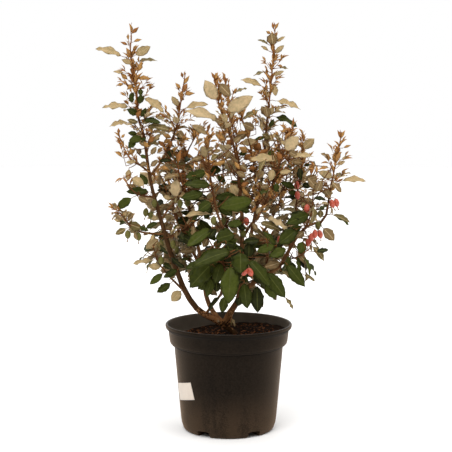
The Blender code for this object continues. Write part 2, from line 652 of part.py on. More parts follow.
def cut_clear(obj, shape, limb):
    """Cut an object clear of a limb if the two touch."""
    fat = fattened(*limb, GAP)
    if not BVHTree.FromPolygons(*shape).overlap(BVHTree.FromPolygons(*fat)):
        return
    cutter = new_object("cutter", fat, "bark")
    boolean(obj, "DIFFERENCE", cutter)
    remove_with_mesh(cutter)
    keep_main_body(obj)


def leaf_frame(direction, roll):
    """The side and face directions of a leaf that points along direction."""
    up = Vector((0, 0, 1)) if abs(direction.z) < 0.98 else Vector((0, -1, 0))
    up = (up - direction * up.dot(direction)).normalized()
    face = Matrix.Rotation(roll, 3, direction) @ up
    return direction.cross(face), face


def leaf_shape(foot, sink, direction, length, width, roll):
    """A leaf of eight faces, folded along its rib and arched, its root sunk into the stem."""
    side, face = leaf_frame(direction, roll)
    root = foot - direction * sink
    length += sink
    arch = face * length * LEAF_ARCH
    middle = root + direction * length * 0.52 + arch
    rib = root + direction * length * 0.38 + arch * 0.8
    edge = side * width / 2
    lift = face * width * LEAF_FOLD
    half = face * max(LEAF_THICKNESS, length / 60) / 2
    points = [
        root, middle - edge + lift, middle + edge + lift, root + direction * length,
        rib + half, rib - half]
    faces = [
        (0, 2, 4), (2, 3, 4), (3, 1, 4), (1, 0, 4),
        (2, 0, 5), (3, 2, 5), (1, 3, 5), (0, 1, 5)]
    return points, faces


def fruit_shape(top, length, width):
    """A hanging berry: a five-sided spindle."""
    rings = ((0.22, 0.85), (0.68, 1.0))
    points = [top]
    for depth, girth in rings:
        for k in range(5):
            turn = 2 * pi * k / 5
            spread = Vector((cos(turn), sin(turn), 0)) * girth * width / 2
            points.append(top + spread - Vector((0, 0, depth * length)))
    points.append(top - Vector((0, 0, length)))
    faces = []
    for k in range(5):
        j = (k + 1) % 5
        faces.append((0, 1 + k, 1 + j))
        faces.append((1 + k, 6 + k, 6 + j, 1 + j))
        faces.append((6 + k, 11, 6 + j))
    return points, faces


def heading(bearing, rise):
    """The direction with a bearing in plan and a rise above the level, in radians."""
    return Vector((cos(bearing) * cos(rise), sin(bearing) * cos(rise), sin(rise)))


class Spaces:
    """The room each spray has: nearer to its own stem than to any other, and off the limbs."""

    def __init__(self, paths, limbs):
        self.starts = np.empty((0, 3))
        self.ends = np.empty((0, 3))
        self.owners = np.empty(0, dtype=int)
        self.index = {name: i for i, name in enumerate(SPRAYS)}
        self.kept = []
        for name in SPRAYS:
            for start, end in zip(paths[name], paths[name][1:]):
                self.add_segment(name, start, end)
        self.limbs = []
        for limb in limbs.values():
            self.limbs.append(BVHTree.FromPolygons(*fattened(*limb, LIMB_CLEARANCE)))

    def add_segment(self, name, start, end):
        """Count a stretch of stem, or an outstanding leaf, as a spray's own."""
        self.starts = np.vstack((self.starts, tuple(start)))
        self.ends = np.vstack((self.ends, tuple(end)))
        self.owners = np.append(self.owners, self.index[name])

    def distances(self, points):
        """How far points lie from every stretch, one row for each point."""
        offsets = points[:, None, :] - self.starts
        spans = self.ends - self.starts
        along = np.clip((offsets * spans).sum(axis=2) / (spans ** 2).sum(axis=1), 0, 1)
        return np.sqrt(((offsets - along[:, :, None] * spans) ** 2).sum(axis=2))

    def own_room(self, name, points, reach=None):
        """Whether points are all in a spray's own room, within its reach."""
        away = self.distances(points)
        mine = self.owners == self.index[name]
        own = away[:, mine].min(axis=1)
        if reach is not None and own.max() > reach:
            return False
        return bool((own + 2 * SPACE_MARGIN < away[:, ~mine].min(axis=1)).all())

    def clear_of_solids(self, shape):
        """Whether a shape is clear of the limbs and of the pot's rim."""
        if any(p.z < POT_HEIGHT + RIM_CLEARANCE and p.xy.length < 0.14 for p in shape[0]):
            return False
        tree = BVHTree.FromPolygons(*shape)
        return not any(tree.overlap(limb) for limb in self.limbs)

    def holds(self, name, shape, reach=None):
        """Whether a shape stays in a spray's own room."""
        return self.own_room(name, samples(shape), reach) and self.clear_of_solids(shape)

    def take(self, name, shape, start, end):
        """Let a spray keep an outstanding shape, and the room round the line from start to end."""
        points = samples(shape)
        before = (self.starts, self.ends, self.owners)
        self.add_segment(name, start, end)
        kept = all(self.own_room(owner, held) for owner, held in self.kept if owner != name)
        if kept and self.own_room(name, points) and self.clear_of_solids(shape):
            self.kept.append((name, points))
            return True
        self.starts, self.ends, self.owners = before
        return False


def samples(shape):
    """The corners of a shape and the middles of its edges."""
    points = np.array([tuple(p) for p in shape[0]])
    edges = {tuple(sorted(pair)) for face in shape[1] for pair in zip(face, face[1:] + face[:1])}
    middles = [(points[a] + points[b]) / 2 for a, b in edges]
    return np.vstack((points, middles))


def stem_radius(name, at):
    """The radius of a spray's stem at a fraction of its length."""
    spray = SPRAYS[name]
    root = LIMBS[spray.carrier].tip if spray.at == 1 else SIDE_STEM_RADIUS
    return root + (TIP_RADIUS - root) * at


def outstanding_parts(name, path, spaces):
    """A spray's marked leaves and fruit, as pairs of a shape and whether it is a leaf."""
    parts = []
    for leaf in OUTSTANDING.get(name, ()):
        foot, _ = point_on(path, leaf.at)
        direction = heading(radians(leaf.bearing), radians(leaf.rise))
        length = leaf.length / 1000
        sink = stem_radius(name, leaf.at) * SINK
        shape = leaf_shape(foot, sink, direction, length, leaf.width / 1000, radians(leaf.roll))
        if spaces.take(name, shape, foot, foot + direction * length):
            parts.append((shape, True))
    for fruit in FRUITS.get(name, ()):
        foot, _ = point_on(path, fruit.at)
        end = foot + heading(radians(fruit.bearing), radians(fruit.rise)) * fruit.stalk / 1000
        stalk = tube([foot, end], [min(TWIG_RADIUS, stem_radius(name, fruit.at) * 0.8), TIP_RADIUS],
                     TWIG_SIDES)
        berry = fruit_shape(end + Vector((0, 0, 0.001)), FRUIT_LENGTH, FRUIT_WIDTH)
        low = end - Vector((0, 0, FRUIT_LENGTH))
        if spaces.take(name, stalk, foot, end) and spaces.take(name, berry, end, low):
            parts += [(stalk, False), (berry, True)]
    return parts


def nodes_of(name):
    """The nodes up a spray's stem, by its seeded rule: the place, bearing, rise and leaf size."""
    spray = SPRAYS[name]
    start = Random(spray.seed).uniform(0, 2 * pi)
    for k in range(spray.nodes):
        rng = Random(spray.seed * 100 + k)
        at = (k + 0.7) / (spray.nodes + 0.5)
        bearing = start + k * GOLDEN_ANGLE + rng.uniform(-0.3, 0.3)
        rise = radians(rng.uniform(15, 40) + 25 * at)
        size = (spray.low + (spray.high - spray.low) * at) * rng.uniform(0.85, 1.15)
        yield at, bearing, rise, size, rng


def twig_parts(name, foot, heading_of_twig, length, size, at, rng):
    """A side twig, then the leaves along it, alternately left and right and one at its tip."""
    bearing, rise = heading_of_twig
    path = [foot, foot + heading(bearing, rise) * length]
    root = min(TWIG_RADIUS, stem_radius(name, at) * 0.8)
    parts = [tube(path, [root, TIP_RADIUS], TWIG_SIDES)]
    for along, side in ((0.38, 1), (0.60, -1), (0.80, 1), (0.97, -0.25)):
        foot, _ = point_on(path, along)
        turn = side * rng.uniform(0.7, 1.2)
        droop = rng.uniform(-0.6, 0.3) * (1.2 - at)
        direction = heading(bearing + turn, rise + droop)
        leaf = size * rng.uniform(0.85, 1.1)
        roll = rng.gauss(0, 0.55)
        parts.append([
            leaf_shape(foot, TIP_RADIUS * 0.4, direction, leaf * s, leaf * s * LEAF_WIDTH, roll)
            for s in SMALLER])
    return parts


def ruled_parts(name, path, spaces, taken):
    """The twigs and leaves of a spray's rule that stay in its room and clear of its other leaves."""
    spray = SPRAYS[name]
    leaves = [BVHTree.FromPolygons(*shape) for shape in taken]
    parts = []

    def add_leaf(shapes, reach):
        for shape in shapes:
            tree = BVHTree.FromPolygons(*shape)
            if spaces.holds(name, shape, reach) and not any(tree.overlap(other) for other in leaves):
                leaves.append(tree)
                parts.append((shape, True))
                return

    for at, bearing, rise, size, rng in nodes_of(name):
        foot, _ = point_on(path, at)
        if at < spray.twiggy:
            length = spray.reach * (0.68 - 0.25 * at) * rng.uniform(0.8, 1.1)
            for shorter in (1.0, 0.72):
                twig, *leafing = twig_parts(
                    name, foot, (bearing, rise), length * shorter, size, at, rng)
                if spaces.holds(name, twig, spray.reach):
                    parts.append((twig, False))
                    for shapes in leafing:
                        add_leaf(shapes, spray.reach * 1.3)
                    break
        else:
            for turn in (0, pi * 0.8):
                direction = heading(bearing + turn, rise + 0.3)
                leaf = size * rng.uniform(1.0, 1.3)
                sink = stem_radius(name, at) * SINK
                roll = rng.gauss(0, 0.5)
                shape = leaf_shape(foot, sink, direction, leaf, leaf * YOUNG_WIDTH, roll)
                add_leaf([shape], spray.reach * 1.2)
    tip, direction = point_on(path, 0.995)
    for side in (-1, 1):
        spread = (direction + Vector((side * 0.35, side * 0.2, 0))).normalized()
        width = spray.high * YOUNG_WIDTH
        add_leaf([leaf_shape(tip, TIP_RADIUS * SINK, spread, spray.high, width, 0.4)], None)
    return parts


def make_stem(name, paths, limbs):
    """A spray's stem, cut clear of the limb that it leaves."""
    path = paths[name]
    radii = taper(len(path), stem_radius(name, 0), TIP_RADIUS)
    shape = tube(path, radii, SPINE_SIDES, growth_directions(SPRAYS[name], path, paths))
    obj = new_object(name, shape, "foliage")
    for other, limb in limbs.items():
        if SPRAYS[name].at < 1 or other != SPRAYS[name].carrier:
            cut_clear(obj, shape, limb)
    return obj


def join_spray(obj, shapes, neighbours):
    """Join a spray's twigs, leaves and fruit to its stem as one solid."""
    growth = bpy.data.collections.new("growth")
    for shape in shapes:
        new_object("part", shape, "foliage", growth)
    boolean(obj, "UNION", growth)
    clear_collection(growth)
    keep_main_body(obj)
    thin_out(obj, neighbours)


def main():
    clear_scene()
    make_pot()
    make_soil()
    paths = {}
    for name in (*LIMBS, *SPRAYS):
        paths[name] = limb_path(name, paths)
    limbs = make_limbs(paths)
    spaces = Spaces(paths, limbs)
    limb_trees = [tree_of(bpy.data.objects[name]) for name in LIMBS]
    marked = {name: outstanding_parts(name, paths[name], spaces) for name in SPRAYS}
    for name in SPRAYS:
        stem = make_stem(name, paths, limbs)
        leaves = [shape for shape, is_leaf in marked[name] if is_leaf]
        parts = marked[name] + ruled_parts(name, paths[name], spaces, leaves)
        join_spray(stem, [shape for shape, _ in parts], limb_trees)


if __name__ == "__main__":
    main()
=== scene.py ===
"""Silverberry shrub in a round nursery pot: the looks, dressed over the packed frame.

The crown, stems and boughs get a bark mesh, and every spray is grown again from the same
seeded rule as its solid, with whole leaves, finer twigs, young spurs and fruit. The pot, the
soil and the blank label are modelled at full detail. Metres, +Z up, viewer on the -Y side.
"""

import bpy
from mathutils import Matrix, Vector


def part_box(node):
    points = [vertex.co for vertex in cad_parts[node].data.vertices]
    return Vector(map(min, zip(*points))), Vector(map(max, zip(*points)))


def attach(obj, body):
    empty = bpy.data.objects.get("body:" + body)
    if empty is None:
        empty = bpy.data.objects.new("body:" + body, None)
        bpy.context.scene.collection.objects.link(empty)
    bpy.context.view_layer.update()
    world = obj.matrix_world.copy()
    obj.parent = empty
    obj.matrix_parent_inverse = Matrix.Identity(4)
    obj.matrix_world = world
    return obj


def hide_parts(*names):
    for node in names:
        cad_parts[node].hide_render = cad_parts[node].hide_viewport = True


bl_info = {
    "name": "Potted silverberry",
    "version": (1, 0, 0),
    "blender": (4, 5, 0),
    "location": "View3D > Sidebar > Silverberry",
    "description": "Builds a potted silverberry shrub over its packed frame",
    "category": "Object",
}

from collections import namedtuple
from math import acos, atan2, cos, exp, pi, radians, sin, tau
from random import Random

import bmesh
import bpy
import numpy as np
from bpy.props import (
    FloatProperty, FloatVectorProperty, IntProperty, PointerProperty)
from bpy.types import Operator, Panel, PropertyGroup
from mathutils import Matrix, Vector, noise
from mathutils.geometry import interpolate_bezier

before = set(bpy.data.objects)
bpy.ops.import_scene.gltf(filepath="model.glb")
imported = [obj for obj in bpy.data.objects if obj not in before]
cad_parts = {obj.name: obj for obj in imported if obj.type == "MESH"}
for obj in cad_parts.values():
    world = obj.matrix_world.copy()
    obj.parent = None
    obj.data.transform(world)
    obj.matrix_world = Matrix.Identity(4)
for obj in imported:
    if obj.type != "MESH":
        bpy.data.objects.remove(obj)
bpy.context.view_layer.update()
ROOT = "root"

# Clearance between pieces that touch
GAP = 0.0003

# The pot's height and rim radius read from the frame, and the soil's level and the crown's foot
POT_LOW, POT_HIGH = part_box("pot")
POT_HEIGHT = POT_HIGH.z
RIM_RADIUS = POT_HIGH.x
SOIL_LEVEL = 0.1925
CROWN = Vector((0.013, 0.026, SOIL_LEVEL + GAP))

# Growth
GOLDEN_ANGLE = radians(137.5)
LIMB_STEPS = 2
STEM_STEPS = 2
TWIG_SIDES = 3
TIP_RADIUS = 0.0009
TWIG_RADIUS = 0.0013
SIDE_STEM_RADIUS = 0.0022
SMALLER = (1.0, 0.82, 0.66)
LEAF_WIDTH = 0.50
YOUNG_WIDTH = 0.38
LEAF_ARCH = 0.05
SPACE_MARGIN = 0.0010
LIMB_CLEARANCE = 0.0012
RIM_CLEARANCE = 0.004
FRUIT_LENGTH = 0.018
FRUIT_WIDTH = 0.0088
CUT_SIDES = 7
SHOOT_RADIUS = 0.0008
FINE_REACH = 1.25
YOUNG_LIMIT = 0.030
YOUNG_LENGTH = 0.0150
LEAFY_HEIGHT = 0.50

# A limb: the limb that carries it, how far along that one it leaves (1 is its end), the points
# that it passes and its radius at root and tip
Limb = namedtuple("Limb", "carrier at path root tip")

LIMBS = {
    "crown": Limb(None, 0, [(0.001, 0.022, 0.2035), (-0.016, 0.018, 0.2160)], 0.0052, 0.0066),
    "stem_left": Limb("crown", 1, [
        (-0.041, 0.014, 0.231), (-0.066, 0.008, 0.249), (-0.094, -0.002, 0.295),
        (-0.123, -0.015, 0.382), (-0.137, -0.020, 0.434), (-0.155, -0.024, 0.500),
        (-0.163, -0.026, 0.547)], 0.0066, 0.0032),
    "stem_centre": Limb("crown", 0.80, [
        (0.002, 0.012, 0.2385), (0.020, 0.004, 0.268), (0.026, -0.004, 0.310),
        (0.027, -0.010, 0.371), (0.027, -0.016, 0.446), (0.022, -0.020, 0.497)], 0.0066, 0.0036),
    "stem_rear": Limb("crown", 0.80, [
        (-0.033, 0.034, 0.238), (-0.046, 0.046, 0.265), (-0.054, 0.060, 0.311),
        (-0.063, 0.072, 0.363), (-0.080, 0.082, 0.436)], 0.0054, 0.0032),
    "stem_back": Limb("crown", 0.55, [
        (0.004, 0.038, 0.2320), (0.0195, 0.048, 0.2600), (0.0275, 0.060, 0.2990),
        (0.036, 0.068, 0.347), (0.049, 0.074, 0.402), (0.060, 0.072, 0.459),
        (0.068, 0.064, 0.505)], 0.0054, 0.0030),
    "stem_right": Limb("stem_centre", 0.22, [
        (0.045, -0.002, 0.299), (0.070, -0.010, 0.318), (0.100, -0.016, 0.337),
        (0.114, -0.018, 0.357), (0.136, -0.020, 0.397), (0.161, -0.020, 0.424),
        (0.188, -0.018, 0.432)], 0.0052, 0.0026),
    "bough_left_inner": Limb("stem_left", 0.94, [
        (-0.147, -0.020, 0.542), (-0.137, -0.012, 0.554), (-0.128, -0.005, 0.572)], 0.0026, 0.0021),
    "bough_left_low": Limb("stem_left", 0.62, [
        (-0.161, -0.040, 0.411), (-0.178, -0.060, 0.417)], 0.0026, 0.0019),
    "bough_left_bottom": Limb("stem_left", 0.27, [
        (-0.117, -0.022, 0.316), (-0.136, -0.038, 0.342)], 0.0026, 0.0018),
    "bough_left_heart": Limb("stem_left", 0.70, [
        (-0.119, -0.022, 0.463), (-0.104, -0.026, 0.478)], 0.0024, 0.0020),
    "bough_centre_left": Limb("stem_centre", 0.44, [
        (0.009, -0.036, 0.383), (-0.011, -0.058, 0.422), (-0.023, -0.066, 0.455)], 0.0034, 0.0025),
    "bough_front": Limb("stem_left", 0.10, [
        (-0.032, -0.010, 0.261), (-0.016, -0.040, 0.287), (-0.011, -0.062, 0.317)], 0.0030, 0.0024),
    "bough_right_inner": Limb("stem_centre", 0.66, [
        (0.043, -0.028, 0.425), (0.059, -0.040, 0.446), (0.073, -0.046, 0.471)], 0.0032, 0.0024),
    "bough_back_left": Limb("stem_rear", 0.52, [
        (-0.085, 0.098, 0.372), (-0.104, 0.118, 0.412)], 0.0032, 0.0024),
    "bough_back_right": Limb("stem_back", 0.58, [
        (0.070, 0.095, 0.392), (0.096, 0.112, 0.432)], 0.0032, 0.0024),
    "bough_back_centre": Limb("stem_back", 0.38, [
        (0.010, 0.098, 0.345), (-0.002, 0.120, 0.395)], 0.0032, 0.0024),
}

# A spray: its carrier and place on it, the points of its stem, how far its own growth reaches,
# how many nodes it has, how far up they bear twigs rather than young spurs, the length of its
# leaves at root and tip, and its seed
Spray = namedtuple("Spray", "carrier at path reach nodes twiggy low high seed")

SPRAYS = {
    "spray_left_top": Spray("stem_left", 1, [
        (-0.171, -0.028, 0.609), (-0.182, -0.028, 0.645), (-0.185, -0.028, 0.698),
        (-0.197, -0.028, 0.769), (-0.194, -0.028, 0.802), (-0.197, -0.028, 0.829)],
        0.040, 15, 0.45, 0.040, 0.018, 11),
    "spray_left_inner": Spray("bough_left_inner", 1, [
        (-0.112, 0.004, 0.608), (-0.103, 0.008, 0.640), (-0.094, 0.012, 0.699),
        (-0.088, 0.012, 0.734)], 0.036, 10, 0.40, 0.036, 0.018, 12),
    "spray_left_outer": Spray("stem_left", 0.965, [
        (-0.178, -0.038, 0.549), (-0.196, -0.046, 0.560), (-0.214, -0.050, 0.594),
        (-0.220, -0.050, 0.619)], 0.032, 8, 0.40, 0.030, 0.016, 13),
    "spray_left_mid": Spray("stem_left", 0.83, [
        (-0.170, -0.045, 0.487), (-0.189, -0.062, 0.497), (-0.210, -0.075, 0.526)],
        0.036, 7, 0.70, 0.038, 0.022, 14),
    "spray_left_low": Spray("bough_left_low", 1, [
        (-0.193, -0.072, 0.428), (-0.205, -0.080, 0.441), (-0.218, -0.086, 0.461),
        (-0.232, -0.090, 0.465)], 0.036, 6, 0.60, 0.038, 0.024, 15),
    "spray_left_bottom": Spray("bough_left_bottom", 1, [
        (-0.146, -0.046, 0.362), (-0.153, -0.050, 0.389)], 0.046, 7, 0.80, 0.046, 0.036, 16),
    "spray_left_inside": Spray("stem_left", 0.60, [
        (-0.113, -0.030, 0.403), (-0.096, -0.042, 0.411), (-0.080, -0.050, 0.434)],
        0.058, 9, 0.90, 0.054, 0.042, 17),
    "spray_left_heart": Spray("bough_left_heart", 1, [
        (-0.092, -0.032, 0.498), (-0.098, -0.038, 0.527), (-0.102, -0.040, 0.549)],
        0.060, 10, 0.80, 0.052, 0.034, 18),
    "spray_rear_left": Spray("stem_rear", 1, [
        (-0.090, 0.084, 0.479), (-0.096, 0.080, 0.526), (-0.087, 0.072, 0.570),
        (-0.062, 0.066, 0.613)], 0.070, 14, 0.80, 0.054, 0.022, 19),
    "spray_centre_left": Spray("bough_centre_left", 1, [
        (-0.030, -0.066, 0.489), (-0.037, -0.062, 0.529), (-0.041, -0.056, 0.570),
        (-0.042, -0.052, 0.616)], 0.060, 12, 0.70, 0.056, 0.020, 20),
    "spray_centre_front": Spray("bough_front", 1, [
        (-0.009, -0.078, 0.346), (-0.017, -0.092, 0.372), (-0.033, -0.104, 0.394)],
        0.066, 10, 0.90, 0.066, 0.054, 21),
    "spray_centre_top": Spray("stem_centre", 1, [
        (0.016, -0.026, 0.563), (0.005, -0.032, 0.602), (-0.018, -0.042, 0.665),
        (-0.025, -0.044, 0.703), (-0.025, -0.044, 0.733)], 0.048, 15, 0.60, 0.042, 0.017, 22),
    "spray_centre_second": Spray("stem_centre", 0.93, [
        (0.025, 0.010, 0.526), (0.015, 0.020, 0.587), (0.001, 0.022, 0.659),
        (-0.007, 0.020, 0.723)], 0.050, 14, 0.60, 0.042, 0.016, 23),
    "spray_front_right": Spray("stem_right", 0.22, [
        (0.075, -0.046, 0.345), (0.079, -0.072, 0.377), (0.074, -0.088, 0.407)],
        0.066, 10, 0.90, 0.060, 0.048, 24),
    "spray_right_inner": Spray("bough_right_inner", 1, [
        (0.087, -0.050, 0.506), (0.101, -0.050, 0.548), (0.112, -0.048, 0.582),
        (0.125, -0.044, 0.626)], 0.052, 12, 0.70, 0.046, 0.017, 25),
    "spray_centre_right": Spray("stem_back", 0.78, [
        (0.056, 0.034, 0.500), (0.050, 0.012, 0.557), (0.036, 0.000, 0.614),
        (0.024, -0.004, 0.649)], 0.066, 16, 0.75, 0.048, 0.018, 26),
    "spray_tall_right": Spray("stem_back", 1, [
        (0.075, 0.056, 0.575), (0.080, 0.050, 0.639), (0.088, 0.046, 0.718),
        (0.093, 0.044, 0.790), (0.096, 0.044, 0.833)], 0.044, 15, 0.50, 0.046, 0.017, 27),
    "spray_right_mid": Spray("stem_right", 0.62, [
        (0.135, 0.022, 0.428), (0.146, 0.044, 0.503), (0.155, 0.050, 0.565),
        (0.153, 0.050, 0.606)], 0.056, 13, 0.70, 0.050, 0.018, 28),
    "spray_right_fruit": Spray("stem_right", 0.76, [
        (0.158, -0.048, 0.431), (0.167, -0.058, 0.464), (0.168, -0.060, 0.501),
        (0.164, -0.060, 0.529)], 0.052, 10, 0.80, 0.048, 0.028, 29),
    "spray_right_tip": Spray("stem_right", 1, [
        (0.202, -0.016, 0.467), (0.208, -0.014, 0.507), (0.222, -0.010, 0.572),
        (0.229, -0.008, 0.615)], 0.036, 10, 0.50, 0.036, 0.016, 30),
    "spray_right_low": Spray("stem_right", 0.46, [
        (0.124, -0.050, 0.360), (0.142, -0.072, 0.369), (0.157, -0.086, 0.383)],
        0.054, 8, 0.90, 0.060, 0.050, 31),
    "spray_back_left": Spray("bough_back_left", 1, [
        (-0.122, 0.136, 0.462), (-0.132, 0.146, 0.520), (-0.130, 0.148, 0.566)],
        0.070, 12, 0.75, 0.054, 0.022, 32),
    "spray_back_right": Spray("bough_back_right", 1, [
        (0.118, 0.126, 0.484), (0.130, 0.136, 0.545), (0.132, 0.138, 0.602)],
        0.070, 12, 0.75, 0.054, 0.022, 33),
    "spray_back_centre": Spray("bough_back_centre", 1, [
        (-0.010, 0.138, 0.462), (-0.012, 0.148, 0.535), (-0.008, 0.150, 0.628)],
        0.070, 13, 0.75, 0.054, 0.020, 34),
    "spray_back_low": Spray("stem_back", 0.26, [
        (0.042, 0.096, 0.318), (0.070, 0.126, 0.346), (0.088, 0.146, 0.372)],
        0.062, 11, 0.90, 0.060, 0.046, 35),
    "spray_back_low_left": Spray("stem_rear", 0.30, [
        (-0.072, 0.092, 0.322), (-0.096, 0.116, 0.346), (-0.118, 0.128, 0.372)],
        0.062, 11, 0.90, 0.060, 0.046, 36),
}

# The camera's distance, height and tilt, and in the photograph's pixels its middle and focal length
Sight = namedtuple("Sight", "distance height pitch middle focal")
SIGHT = Sight(2.5, 0.6956, 0.1091, (228.7, 226), 1225.5)

# The crown's outline in the photograph, in its pixels, clockwise from the tip of the left shoot
OUTLINE = (
    (131, 20), (142, 36), (151, 50), (150, 75), (159, 90), (161, 104), (168, 112), (170, 96),
    (177, 80), (185, 69), (193, 85), (197, 100), (197, 114), (206, 124), (206, 100), (204, 80),
    (214, 70), (224, 72), (233, 82), (242, 92), (252, 97), (252, 112), (262, 104), (260, 85),
    (263, 60), (265, 36), (275, 19), (283, 40), (285, 60), (283, 80), (286, 98), (297, 110),
    (291, 121), (299, 126), (306, 133), (315, 140), (316, 155), (319, 166), (326, 170), (328, 160),
    (332, 145), (341, 127), (351, 142), (353, 158), (351, 172), (346, 186), (340, 200), (337, 212),
    (336, 228), (337, 242), (327, 250), (322, 262), (315, 276), (306, 288), (300, 282), (293, 300),
    (278, 301), (262, 303), (260, 314), (244, 310), (230, 308), (222, 313), (213, 300), (203, 298),
    (191, 292), (188, 282), (189, 270), (184, 263), (181, 272), (172, 284), (160, 295), (149, 288),
    (147, 276), (146, 268), (133, 266), (145, 256), (144, 246), (140, 239), (128, 241), (115, 238),
    (113, 228), (111, 212), (116, 199), (124, 190), (122, 177), (127, 168), (121, 158), (113, 150),
    (112, 134), (118, 127), (125, 140), (128, 150), (126, 130), (122, 112), (121, 95), (117, 80),
    (121, 66), (121, 50), (127, 34),
)

# Sky that shows between the sprays: centre, half width and half height in those pixels
SKY = (
    (233, 178, 6, 3), (210, 192, 4, 5), (185, 205, 4, 6), (194, 205, 4, 5), (185, 219, 5, 3),
    (197, 227, 3, 4), (205, 220, 3, 3), (219, 223, 2, 4), (250, 215, 3, 4), (266, 185, 3, 3),
    (273, 196, 4, 3), (282, 186, 3, 3), (286, 194, 3, 3), (293, 205, 8, 5), (285, 213, 5, 5),
    (305, 192, 4, 3), (313, 202, 3, 3), (317, 194, 3, 3), (307, 219, 4, 3), (270, 235, 3, 4),
    (200, 248, 5, 4), (249, 280, 3, 4), (257, 285, 6, 3), (196, 300, 8, 12), (217, 302, 4, 9),
    (258, 251, 6, 6), (184, 303, 12, 13), (146, 160, 5, 9), (193, 148, 7, 9), (200, 258, 5, 4),
    (161, 130, 5, 6), (176, 166, 4, 4), (313, 232, 7, 8), (155, 245, 3, 5), (296, 222, 5, 5),
    (150, 234, 5, 3), (133, 205, 8, 8), (173, 181, 4, 3), (296, 262, 4, 3), (160, 290, 3, 2),
    (258, 207, 4, 3),
)

# A leaf that shows well, by the photograph: the pixels of its foot and of its tip, its width in
# pixels, and how far its foot is in front of its stem and its tip of its foot, in millimetres
Shown = namedtuple("Shown", "foot_x foot_y tip_x tip_y wide near lean")

